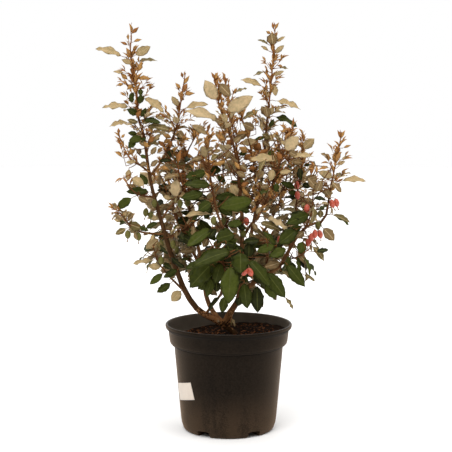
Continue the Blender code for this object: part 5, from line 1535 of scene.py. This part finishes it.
def cut_recesses(pot):
    """Cut the recesses into the edge of the pot's base."""
    bm = bmesh.new()
    for foot in range(POT_RECESSES // 2):
        for side in (-1, 1):
            turn = -pi / 2 + foot * tau / 3 + side * RECESS_OFF_FOOT
            place = Matrix.Rotation(turn, 4, "Z") @ Matrix.Translation((RECESS_RADIUS, 0, 0))
            cube = bmesh.ops.create_cube(bm, size=1.0, matrix=place @ Matrix.Diagonal((*RECESS_SIZE, 1)))
            bmesh.ops.bevel(
                bm, geom=list({e for v in cube["verts"] for e in v.link_edges}), offset=RECESS_ROUNDING,
                segments=3, affect="EDGES", profile=0.5)
    mesh = bpy.data.meshes.new("recess cutters")
    bm.to_mesh(mesh)
    bm.free()
    cutter = bpy.data.objects.new("recess cutters", mesh)
    bpy.context.scene.collection.objects.link(cutter)
    modifier = pot.modifiers.new("Recesses", "BOOLEAN")
    modifier.operation = "DIFFERENCE"
    modifier.object = cutter
    evaluated = pot.evaluated_get(bpy.context.evaluated_depsgraph_get())
    pot.data = bpy.data.meshes.new_from_object(evaluated)
    pot.modifiers.clear()
    bpy.data.objects.remove(cutter, do_unlink=True)


class SILVERBERRY_OT_pot(Operator):
    """Turn the pot with its rolled rim, deep collar and the recesses round its base"""

    bl_idname = "silverberry.pot"
    bl_label = "Pot"

    def execute(self, context):
        sizes = context.scene.silverberry_pot
        plastic = finish(
            "pot plastic", sizes.plastic, 0.46, second=sizes.worn, scale=260.0, contrast=4.0,
            depth=0.0003, rough_swing=0.2, specular=0.03, sheen=0.27,
            dust=(tuple(sizes.dust), sizes.dust_amount))
        # The inside wall, soil-stained and painted paler still: painted light over the shade inside the pot
        inside = finish(
            "pot inside, stained and painted light", sizes.inside, 0.6, second=tuple(c * 0.7 for c in sizes.inside),
            scale=28.0, specular=0.1, sheen=0.05)
        # The faces under the collar and the rim get a copy of the plastic with its own colour and little
        # sheen: painted shade in place of the bright line that the sheen draws on them
        under = finish(
            "painted shade under the collar", sizes.underside, 0.6, second=tuple(sizes.underside),
            specular=0.03, sheen=0.07)
        # The rim's top, paler and glossier than the plastic: a painted highlight
        lip = finish(
            "lip with painted highlight", sizes.lip, 0.4, second=tuple(sizes.worn), scale=90.0, specular=0.4)
        points, faces = turned(POT_WALL, sizes.sides)
        slots = []
        for face in faces:
            middle = sum((points[i] for i in face), Vector()) / len(face)
            radius = middle.xy.length
            first, second, third = (points[i] for i in face[:3])
            facing = (second - first).cross(third - first).normalized()
            # The rim's top takes the painted highlight
            if middle.z > POT_HEIGHT - 0.0008:
                slots.append(2)
            # Faces that face down take the painted shade
            elif middle.z > 0.10 and facing.z < -0.3:
                slots.append(3)
            # The inside wall takes the stained colour with painted light
            elif middle.z > 0.10 and radius < wall_radius(POT_WALL, middle.z) - 0.0008:
                slots.append(1)
            else:
                slots.append(0)
        pile = Pile()
        pile.add(points, faces, slots)
        pot = pile.make("nursery_pot", [plastic, inside, lip, under], "pot", ["pot"])
        cut_recesses(pot)
        pot.data.set_sharp_from_angle(angle=radians(38))
        return {"FINISHED"}


class SILVERBERRY_OT_label(Operator):
    """Stick the blank label on the pot's wall"""

    bl_idname = "silverberry.label"
    bl_label = "Label"

    def execute(self, context):
        sizes = context.scene.silverberry_pot
        paper = finish(
            "label paper", sizes.label, 0.48, second=tuple(c * 0.86 for c in sizes.label),
            scale=60.0, contrast=1.6, depth=0.0001)
        columns, rows = 22, 10
        grids = []
        for lift in (0.0006, 0.0002):
            grid = []
            for j in range(rows + 1):
                row = []
                for i in range(columns + 1):
                    across = (i / columns - 0.5) * LABEL_SIZE[0]
                    up = (j / rows - 0.5) * LABEL_SIZE[1]
                    across, up = (
                        across * cos(LABEL_LEAN) - up * sin(LABEL_LEAN),
                        across * sin(LABEL_LEAN) + up * cos(LABEL_LEAN))
                    height = LABEL_HEIGHT + up
                    radius = wall_radius(POT_WALL, height) + lift
                    crease = 0.0002 * noise.noise(Vector((across * 90, up * 60, 1.7)))
                    turn = LABEL_TURN + across / radius
                    out = Vector((sin(turn), -cos(turn), 0)) * (radius + crease)
                    row.append(Vector((out.x, out.y, height)))
                grid.append(row)
            grids.append(grid)
        pile = Pile()
        pile.add(*closed_sheet(*grids))
        pile.make("blank_label", [paper], "pot")
        return {"FINISHED"}


def closed_sheet(outer, inner):
    """Two grids of points, a front and a back, joined round their edges."""
    rows, columns = len(outer), len(outer[0])
    points = [p for row in outer for p in row] + [p for row in inner for p in row]
    back = rows * columns
    faces = []
    for j in range(rows - 1):
        for i in range(columns - 1):
            a = j * columns + i
            faces.append((a, a + 1, a + columns + 1, a + columns))
            faces.append((back + a + columns, back + a + columns + 1, back + a + 1, back + a))
    edge = [i for i in range(columns)]
    edge += [j * columns + columns - 1 for j in range(1, rows)]
    edge += [(rows - 1) * columns + i for i in range(columns - 2, -1, -1)]
    edge += [j * columns for j in range(rows - 2, 0, -1)]
    for a, b in zip(edge, edge[1:] + edge[:1]):
        faces.append((b, a, back + a, back + b))
    return points, faces


class SILVERBERRY_OT_soil(Operator):
    """Fill the pot with soil and strew crumbs and bark chips over it"""

    bl_idname = "silverberry.soil"
    bl_label = "Soil"

    def execute(self, context):
        sizes = context.scene.silverberry_pot
        earth = finish(
            "potting mix", sizes.soil, 0.95, second=sizes.crumbs, scale=260.0, contrast=3.5, depth=0.0016,
            specular=0.05)
        crumbs = finish(
            "soil crumbs", sizes.crumbs, 0.95, second=sizes.soil, scale=300.0, contrast=3.0,
            depth=0.0005, specular=0.05)
        chips = finish(
            "bark chips", sizes.chips, 0.85, second=tuple(c * 0.35 for c in sizes.chips),
            scale=120.0, contrast=3.0, depth=0.0004, specular=0.1)
        sides, rings = 96, 30
        wall = [(r - GAP, z) for r, z in INNER_SIDE if 0.10 < z < SOIL_LEVEL - 0.006]
        profile = [(0, 0.10), (wall_radius(INNER_SIDE, 0.10) - GAP, 0.10), *wall]
        profile += [(0.1190 * i / rings, SOIL_LEVEL) for i in range(rings, 0, -1)]
        profile += [(0, SOIL_LEVEL)]
        points, faces = turned(profile, sides)
        for point in points:
            if abs(point.z - SOIL_LEVEL) < 1e-6:
                edge = point.xy.length > 0.1189
                point.z = ground_height(point.x, point.y)
                if edge:
                    point.xy *= (wall_radius(INNER_SIDE, point.z) - GAP) / point.xy.length
        pile = Pile()
        pile.add(points, faces)
        pile.make("potting_soil", [earth], "soil", ["soil"])
        top = [f for f in faces if all(points[i].z > SOIL_LEVEL - 0.006 for i in f)
               and all(points[i].xy.length < 0.114 for i in f)]
        for name, material, density, size, seed in (
                ("soil_crumbs", crumbs, sizes.crumb_density, (0.0011, 0.0010, 0.0007), 3),
                ("soil_bark_chips", chips, sizes.chip_density, (0.0030, 0.0014, 0.0006), 8)):
            strew(name, points, top, material, density, size, seed)
        return {"FINISHED"}


def strewing_tree():
    """Geometry Nodes that strew small lumps over a surface."""
    tree = bpy.data.node_groups.get("Strew lumps")
    if tree:
        return tree
    tree = bpy.data.node_groups.new("Strew lumps", "GeometryNodeTree")
    for label, kind in (
            ("Surface", "NodeSocketGeometry"), ("Density", "NodeSocketFloat"),
            ("Lump size", "NodeSocketVector"), ("Material", "NodeSocketMaterial"),
            ("Seed", "NodeSocketInt")):
        tree.interface.new_socket(label, in_out="INPUT", socket_type=kind)
    tree.interface.new_socket("Lumps", in_out="OUTPUT", socket_type="NodeSocketGeometry")
    given = tree.nodes.new("NodeGroupInput").outputs
    made = tree.nodes.new("NodeGroupOutput").inputs
    spots = add_node(
        tree, "GeometryNodeDistributePointsOnFaces", None, Mesh=given["Surface"],
        Density=given["Density"], Seed=given["Seed"])
    lump = add_node(tree, "GeometryNodeMeshIcoSphere", None, Radius=1.0, Subdivisions=1)
    turn = tree.nodes.new("FunctionNodeRandomValue")
    turn.data_type = "FLOAT_VECTOR"
    turn.inputs[0].default_value = (-0.5, -0.5, 0.0)
    turn.inputs[1].default_value = (0.5, 0.5, tau)
    tree.links.new(given["Seed"], turn.inputs["Seed"])
    swell = tree.nodes.new("FunctionNodeRandomValue")
    swell.data_type = "FLOAT"
    swell.inputs[2].default_value = 0.45
    swell.inputs[3].default_value = 1.8
    tree.links.new(given["Seed"], swell.inputs["Seed"])
    size = add_node(tree, "ShaderNodeVectorMath", {"operation": "SCALE"})
    tree.links.new(given["Lump size"], size.inputs[0])
    tree.links.new(swell.outputs[1], size.inputs["Scale"])
    strewn = add_node(
        tree, "GeometryNodeInstanceOnPoints", None, Points=spots.outputs["Points"],
        Instance=lump.outputs["Mesh"], Rotation=turn.outputs[0], Scale=size.outputs[0])
    real = add_node(tree, "GeometryNodeRealizeInstances", None, Geometry=strewn.outputs[0])
    dressed = add_node(
        tree, "GeometryNodeSetMaterial", None, Geometry=real.outputs[0],
        Material=given["Material"])
    tree.links.new(dressed.outputs[0], made["Lumps"])
    return tree


def strew(name, points, faces, material, density, size, seed):
    """Strew lumps over faces as one plain mesh."""
    surface = bpy.data.meshes.new(name)
    surface.from_pydata(*[points, [], faces])
    obj = bpy.data.objects.new(name, surface)
    bpy.context.scene.collection.objects.link(obj)
    modifier = obj.modifiers.new("Strew", "NODES")
    tree = strewing_tree()
    modifier.node_group = tree
    wanted = {"Density": density, "Lump size": size, "Material": material, "Seed": seed}
    for item in tree.interface.items_tree:
        if item.item_type == "SOCKET" and item.name in wanted:
            modifier[item.identifier] = wanted[item.name]
    evaluated = obj.evaluated_get(bpy.context.evaluated_depsgraph_get())
    obj.data = bpy.data.meshes.new_from_object(evaluated)
    obj.modifiers.clear()
    if not obj.data.materials:
        obj.data.materials.append(material)
    placed(obj)


class SILVERBERRY_OT_limbs(Operator):
    """Grow the crown, stems and boughs with bark relief"""

    bl_idname = "silverberry.limbs"
    bl_label = "Limbs"

    def execute(self, context):
        sizes = context.scene.silverberry_bark
        bark = finish(
            "scurfy bark", sizes.bark, 0.82, second=sizes.bark_pale, scale=150.0, stretch=(1, 1, 0.35),
            contrast=3.2, depth=0.0008, specular=0.08)
        # Two copies of the bark: a paler one, painted light over the trunk's shade, and a darker one,
        # soil-stained low down and painted shade on stem_left
        low, soil_and_painted_shade_bark = (
            finish(
                f"bark {where}", tuple(c * share for c in sizes.bark), 0.82,
                second=tuple(c * share for c in sizes.bark_pale), scale=150.0, stretch=(1, 1, 0.35),
                contrast=3.2, depth=0.0008, specular=0.08)
            for where, share in (("low down", 2.3), ("with soil and painted shade", 0.5)))
        cut = finish(
            "cut wood", sizes.cut_wood, 0.7, second=tuple(c * 0.8 for c in sizes.cut_wood),
            scale=300.0, contrast=2.0, depth=0.0002)
        pile = Pile()
        for index, (name, limb) in enumerate(LIMBS.items()):
            coarse, radii, _, _ = plant()["limbs"][name]
            path = resampled(coarse, sizes.spacing)
            along = [i / (len(path) - 1) for i in range(len(path))]
            widths = [radius_at(radii, t) for t in along]
            if limb.carrier is None:
                path = [path[0] - Vector((0, 0, 0.004)), *path]
                widths = [widths[0] * 1.12, *widths]
            elif limb.at < 1:
                widths = [w * (1 + 0.12 * exp(-t * 14)) for w, t in zip(widths, along)]
            else:
                path = [path[0] - (path[1] - path[0]).normalized() * 0.002, *path]
                widths = [widths[0], *widths]
            end = (path[-1] - path[-2]).normalized() * 0.002
            path.append(path[-1] + end)
            widths.append(widths[-1])
            directions = directions_along(path)
            sides = max(8, int(sizes.sides * min(1.0, 0.45 + limb.root / 0.012)))
            points, faces = bark_tube(path, widths, sides, directions, sizes.relief, index * 7.3)
            pile.add(points, faces, bark_slots(name, points, faces))
        stub = [Vector(STUB[0]), Vector(STUB[1])]
        pile.add(*bark_tube(
            resampled(stub, 0.002), [STUB_RADIUS] * 20, 12,
            directions_along(resampled(stub, 0.002)), sizes.relief, 3.1))
        way = (stub[1] - stub[0]).normalized()
        face = [stub[1] - way * 0.0004, stub[1] + way * 0.0004]
        pile.add(*tube(face, [STUB_RADIUS * 0.86] * 2, 16), slot=1)
        pile.make("bark_limbs", [bark, cut, low, soil_and_painted_shade_bark], "bark", list(LIMBS))
        return {"FINISHED"}


# The bark is painted paler between these heights as painted light over the trunk's shade; below them it is
# darker with soil, and on the limb named below it is darker as painted shade
PAINTED_LIGHT_BAND = (0.213, 0.241)
PAINTED_SHADE_LIMB = "stem_left"


def bark_slots(name, points, faces):
    """The finish of each face of a limb's bark, with a ragged border between two finishes."""
    rng = Random(len(faces))
    slots = []
    for face in faces:
        height = points[face[0]].z + rng.uniform(-0.012, 0.012)
        # Painted light in the pale band; darker for soil below it and as painted shade on stem_left
        pale = PAINTED_LIGHT_BAND[0] < height < PAINTED_LIGHT_BAND[1]
        dark = height < PAINTED_LIGHT_BAND[0] or name == PAINTED_SHADE_LIMB
        slots.append(2 if pale else 3 if dark else 0)
    return slots


# A cut-off stub low on the middle stem
STUB = ((-0.0180, 0.018, 0.2165), (-0.0212, 0.007, 0.2222))
STUB_RADIUS = 0.0028


def radius_at(radii, fraction):
    """A radius part of the way along a list."""
    place = fraction * (len(radii) - 1)
    low = min(int(place), len(radii) - 2)
    return radii[low] + (radii[low + 1] - radii[low]) * (place - low)


class SILVERBERRY_OT_twigs(Operator):
    """Grow each spray's stem, side twigs, spurs and leaf stalks"""

    bl_idname = "silverberry.twigs"
    bl_label = "Twigs"

    def execute(self, context):
        sizes = context.scene.silverberry_bark
        leaves = context.scene.silverberry_leaves
        woody = finish(
            "woody twigs", sizes.twig, 0.78, second=tuple(c * 0.55 for c in sizes.twig),
            scale=220.0, stretch=(1, 1, 0.4), contrast=2.6, depth=0.0004, specular=0.05)
        young = finish(
            "young shoots", sizes.shoot, 0.70, second=tuple(c * 0.70 for c in sizes.shoot),
            scale=320.0, contrast=2.2, depth=0.0002, specular=0.05)
        old_pile, new_pile = Pile(), Pile()
        for name, spray in SPRAYS.items():
            coarse = plant()["paths"][name]
            path = resampled(coarse, 0.006)
            widths = taper(len(path), stem_radius(name, 0), TIP_RADIUS)
            widths = [max(w, TIP_RADIUS) for w in widths]
            split = max(2, int(len(path) * spray.twiggy))
            lower, upper = path[:split + 1], path[split:]
            relief = sizes.relief * 0.8
            old_pile.add(*bark_tube(
                lower, widths[:split + 1], 8, directions_along(lower), relief, spray.seed))
            if len(upper) > 1:
                new_pile.add(*bark_tube(
                    upper, widths[split:], 7, directions_along(upper), relief, spray.seed))
        for items in plant()["growth"].values():
            for item in items:
                if isinstance(item, Twig):
                    thin = item.root <= TIP_RADIUS
                    path = item.path[::2] if len(item.path) == 5 and thin else item.path
                    shape = tube(path, taper(len(path), item.root, item.tip), 4 if thin else 5)
                    low = item.path[0].z < LEAFY_HEIGHT
                    shoot = item.root == SHOOT_RADIUS
                    old = not shoot and (low or item.at < 0.35 and not thin)
                    woods = old_pile if old else new_pile
                    woods.add(*shape)
                elif isinstance(item, Blade):
                    share = 0.05 if item.young else leaves.petiole
                    end = item.foot + item.direction * item.length * (share + 0.03)
                    radius = 0.0005 if item.young else 0.0008
                    new_pile.add(*tube([item.foot, end], [radius, radius * 0.8], 4))
        old_pile.make("woody_twigs", [woody], "foliage", list(SPRAYS))
        new_pile.make("young_shoots", [young], "foliage", list(SPRAYS))
        return {"FINISHED"}


class SILVERBERRY_OT_leaves(Operator):
    """Put a leaf or a young leaf on every place that the rule gives"""

    bl_idname = "silverberry.leaves"
    bl_label = "Leaves"

    def execute(self, context):
        sizes = context.scene.silverberry_leaves
        piles = {tone: Pile() for tone in TONES}
        for index, items in enumerate(plant()["growth"].values()):
            rng = Random(index * 57)
            for item in items:
                if isinstance(item, Blade):
                    piles[item.tone].add(*blade_mesh(item, sizes, rng))
        for tone, pile in piles.items():
            under = UNDERSIDES.get(tone, "under")
            rib = "rib" if under == "under_painted_shade" else under
            skins = [leaf_finish(name, sizes) for name in (tone, under, rib)]
            pile.make(f"leaves_{tone}", skins, "foliage", list(SPRAYS))
        return {"FINISHED"}


# The colours of a leaf's top, with the rust and gold ones young, and the undersides that differ
# The brown-grey tone is brown leaves darkened as painted shade
TONES = ("deep", "shade", "fresh", "olive", "brown_and_painted_shade", "tan", "beige", "rust", "gold")
# The green leaves take the darker undersides, painted shade
UNDERSIDES = {
    "rust": "young_under", "gold": "young_under", "deep": "under_painted_shade", "shade": "under_painted_shade",
    "fresh": "under_painted_shade"}


# How much more red, green and blue the brown scurf on a leaf has than the leaf
SCURFY = (1.50, 1.38, 1.42)


def leaf_finish(name, sizes):
    """The finish of one colour of leaf skin, mottled with scurf."""
    base = tuple(getattr(sizes, name))
    scurf = tuple(min(1.0, c * more + 0.002) for c, more in zip(base, SCURFY))
    return finish(
        f"leaf {name}", base, 0.40, second=scurf, scale=150.0, contrast=2.6, depth=0.0010,
        specular=sizes.gloss)


def tone_of(foot, young, rng):
    """Which of the leaf colours a leaf has: by its age and its height in the crown."""
    if young:
        return "rust" if rng.random() < 0.45 else "gold"
    across = abs(foot.x - 0.02)
    height = foot.z + rng.uniform(-0.05, 0.05) + max(0.0, across - 0.12) * 0.6
    if height < 0.455:
        return rng.choice(("deep", "deep", "deep", "shade", "shade", "fresh"))
    if height < 0.515:
        return rng.choice(("deep", "deep", "olive", "brown_and_painted_shade", "brown_and_painted_shade"))
    if height < 0.60:
        return rng.choice(("deep", "brown_and_painted_shade", "brown_and_painted_shade", "olive", "olive", "tan"))
    return rng.choice(("olive", "brown_and_painted_shade", "brown_and_painted_shade", "tan", "tan"))


class SILVERBERRY_OT_fruit(Operator):
    """Hang the fruit: red on the right-hand sprays, still green on the left"""

    bl_idname = "silverberry.fruit"
    bl_label = "Fruit"

    def execute(self, context):
        sizes = context.scene.silverberry_fruit
        ripe = finish(
            "ripe fruit", sizes.ripe, 0.38, second=tuple(c * 1.35 + 0.012 for c in sizes.ripe),
            scale=420.0, contrast=3.0, depth=0.0001, coat=0.3)
        unripe = finish(
            "unripe fruit", sizes.unripe, 0.5, second=tuple(c * 1.6 for c in sizes.unripe),
            scale=500.0, contrast=3.0, depth=0.0001, specular=0.15)
        tail = finish(
            "dried tail", sizes.tail, 0.85, second=tuple(c * 0.6 for c in sizes.tail), scale=300.0)
        piles = {"ripe": Pile(), "unripe": Pile()}
        for index, items in enumerate(plant()["growth"].values()):
            rng = Random(index * 91)
            for item in items:
                if not isinstance(item, Berry):
                    continue
                pile = piles["ripe" if item.ripe else "unripe"]
                pile.add(*berry_mesh(item.end, item.axis, sizes.length, sizes.width, rng))
                low = item.end + item.axis * sizes.length
                lean = Vector((rng.uniform(-1, 1), rng.uniform(-1, 1), 0)) * 0.0012
                path = [low - item.axis * 0.002, low + item.axis * 0.002 + lean,
                        low + item.axis * 0.0058 + lean * 2.2]
                pile.add(*tube(path, [0.0012, 0.0007, 0.0015], 6), slot=1)
                stalk = [item.foot, item.foot.lerp(item.end, 0.6) + Vector((0, 0, 0.0022)),
                         item.end, item.end + item.axis * 0.0012]
                pile.add(*tube(stalk, [0.0009, 0.0006, 0.0006, 0.0008], 5), slot=1)
        piles["ripe"].make("berries_ripe", [ripe, tail], "foliage", list(SPRAYS))
        piles["unripe"].make("berries_unripe", [unripe, tail], "foliage", list(SPRAYS))
        return {"FINISHED"}


# A berry's outline: how far down it, and how full, from its stalk to its end
BERRY_OUTLINE = (
    (0.03, 0.28), (0.10, 0.55), (0.22, 0.80), (0.38, 0.96), (0.55, 1.0), (0.72, 0.88),
    (0.86, 0.62), (0.95, 0.36))


def berry_mesh(top, axis, length, width, rng):
    """A plump hanging berry, faintly ribbed."""
    sides = 12
    ribs = rng.uniform(0, tau)
    across = axis.orthogonal().normalized()
    along = axis.cross(across)
    points = [top.copy()]
    for depth, girth in BERRY_OUTLINE:
        for k in range(sides):
            turn = tau * k / sides
            reach = girth * width / 2 * (1 + 0.03 * cos(4 * turn + ribs))
            out = across * cos(turn) + along * sin(turn)
            points.append(top + axis * depth * length + out * reach)
    points.append(top + axis * length)
    faces = []
    last = len(BERRY_OUTLINE) - 1
    for k in range(sides):
        j = (k + 1) % sides
        faces.append((0, 1 + j, 1 + k))
        for ring in range(last):
            a, b = 1 + ring * sides, 1 + (ring + 1) * sides
            faces.append((a + j, b + j, b + k, a + k))
        faces.append((1 + last * sides + j, len(points) - 1, 1 + last * sides + k))
    return points, faces


class SILVERBERRY_OT_stage(Operator):
    """Set the camera, the white surroundings and the lights"""

    bl_idname = "silverberry.stage"
    bl_label = "Stage"

    def execute(self, context):
        sizes = context.scene.silverberry_stage
        scene = context.scene
        camera = bpy.data.objects.new("camera", bpy.data.cameras.new("camera"))
        camera.data.lens = sizes.lens
        camera.data.sensor_width = 36.0
        camera.location = (-0.0055, -sizes.distance, sizes.height)
        camera.rotation_euler = (pi / 2 - sizes.pitch, 0, 0)
        scene.collection.objects.link(camera)
        scene.camera = camera
        world = bpy.data.worlds.new("white surroundings")
        world.use_nodes = True
        tree = world.node_tree
        shown = tree.nodes["Background"]
        shown.inputs["Color"].default_value = (1, 1, 1, 1)
        way = add_node(
            tree, "ShaderNodeSeparateXYZ", None,
            Vector=tree.nodes.new("ShaderNodeTexCoord").outputs["Generated"])
        behind = add_node(
            tree, "ShaderNodeMapRange", {"interpolation_type": "SMOOTHSTEP"}, Value=way.outputs["Y"],
            From_Min=-0.75, From_Max=0.55, To_Min=sizes.front, To_Max=sizes.back)
        above = add_node(
            tree, "ShaderNodeMapRange", {"interpolation_type": "SMOOTHSTEP"}, Value=way.outputs["Z"],
            From_Min=0.1, From_Max=0.9, To_Min=0.0, To_Max=sizes.above)
        strength = math_node(tree, "ADD", behind.outputs[0], above.outputs[0])
        lighting = add_node(
            tree, "ShaderNodeBackground", None, Color=(1.0, 0.985, 0.96, 1), Strength=strength)
        choice = add_node(
            tree, "ShaderNodeMixShader", None,
            Fac=tree.nodes.new("ShaderNodeLightPath").outputs["Is Camera Ray"])
        tree.links.new(lighting.outputs[0], choice.inputs[1])
        tree.links.new(shown.outputs[0], choice.inputs[2])
        tree.links.new(choice.outputs[0], tree.nodes["World Output"].inputs["Surface"])
        scene.world = world
        scene.view_settings.view_transform = "Standard"
        for name, turn, rise, share in LAMPS:
            light = bpy.data.lights.new(name, "SUN")
            light.energy = sizes.key * share
            light.angle = radians(35)
            light.color = (1.0, 0.985, 0.965)
            lamp = bpy.data.objects.new(name, light)
            lamp.rotation_euler = (-heading(radians(turn), radians(rise))).to_track_quat("-Z", "Y").to_euler()
            scene.collection.objects.link(lamp)
        pale = finish(
            "pale floor", (0.94, 0.945, 0.955), 0.9, second=(0.96, 0.965, 0.975), scale=3.0,
            specular=0.0)
        pile = Pile()
        pile.add(*turned(((0, -0.004), (FLOOR_RADIUS, -0.004), (FLOOR_RADIUS, -0.0005), (0, -0.0005)), 96))
        floor = pile.make_stage("pale_floor", pale)
        return {"FINISHED"}


# The lamps: the bearing and the height they shine from in degrees, and their share of the light
LAMPS = (("front lamp", -115, 48, 0.55), ("side lamp", -35, 55, 0.30), ("top lamp", 100, 75, 0.25))
FLOOR_RADIUS = 9.0


class SILVERBERRY_PT_panel(Panel):
    """The shrub's sizes and the buttons that build its pieces"""

    bl_idname = "SILVERBERRY_PT_panel"
    bl_label = "Potted silverberry"
    bl_space_type = "VIEW_3D"
    bl_region_type = "UI"
    bl_category = "Silverberry"

    def draw(self, context):
        for attribute, group in SETTINGS.items():
            box = self.layout.box()
            box.label(text=group.__doc__)
            for name in group.__annotations__:
                box.prop(getattr(context.scene, attribute), name)
        for operator in OPERATORS:
            self.layout.operator(operator.bl_idname)


SETTINGS = {
    "silverberry_pot": PotSizes, "silverberry_bark": BarkSizes, "silverberry_leaves": LeafSizes,
    "silverberry_fruit": FruitSizes, "silverberry_stage": StageSizes,
}
OPERATORS = (
    SILVERBERRY_OT_pot, SILVERBERRY_OT_label, SILVERBERRY_OT_soil, SILVERBERRY_OT_limbs,
    SILVERBERRY_OT_twigs, SILVERBERRY_OT_leaves, SILVERBERRY_OT_fruit, SILVERBERRY_OT_stage)


def register():
    for group in SETTINGS.values():
        bpy.utils.register_class(group)
    for kind in (*OPERATORS, SILVERBERRY_PT_panel):
        bpy.utils.register_class(kind)
    for attribute, group in SETTINGS.items():
        setattr(bpy.types.Scene, attribute, PointerProperty(type=group))


def unregister():
    for attribute in SETTINGS:
        delattr(bpy.types.Scene, attribute)
    for kind in (SILVERBERRY_PT_panel, *reversed(OPERATORS)):
        bpy.utils.unregister_class(kind)
    for group in reversed(SETTINGS.values()):
        bpy.utils.unregister_class(group)


def main():
    register()
    bpy.ops.silverberry.pot()
    bpy.ops.silverberry.label()
    bpy.ops.silverberry.soil()
    bpy.ops.silverberry.limbs()
    bpy.ops.silverberry.twigs()
    bpy.ops.silverberry.leaves()
    bpy.ops.silverberry.fruit()
    bpy.ops.silverberry.stage()


if __name__ == "__main__":
    main()
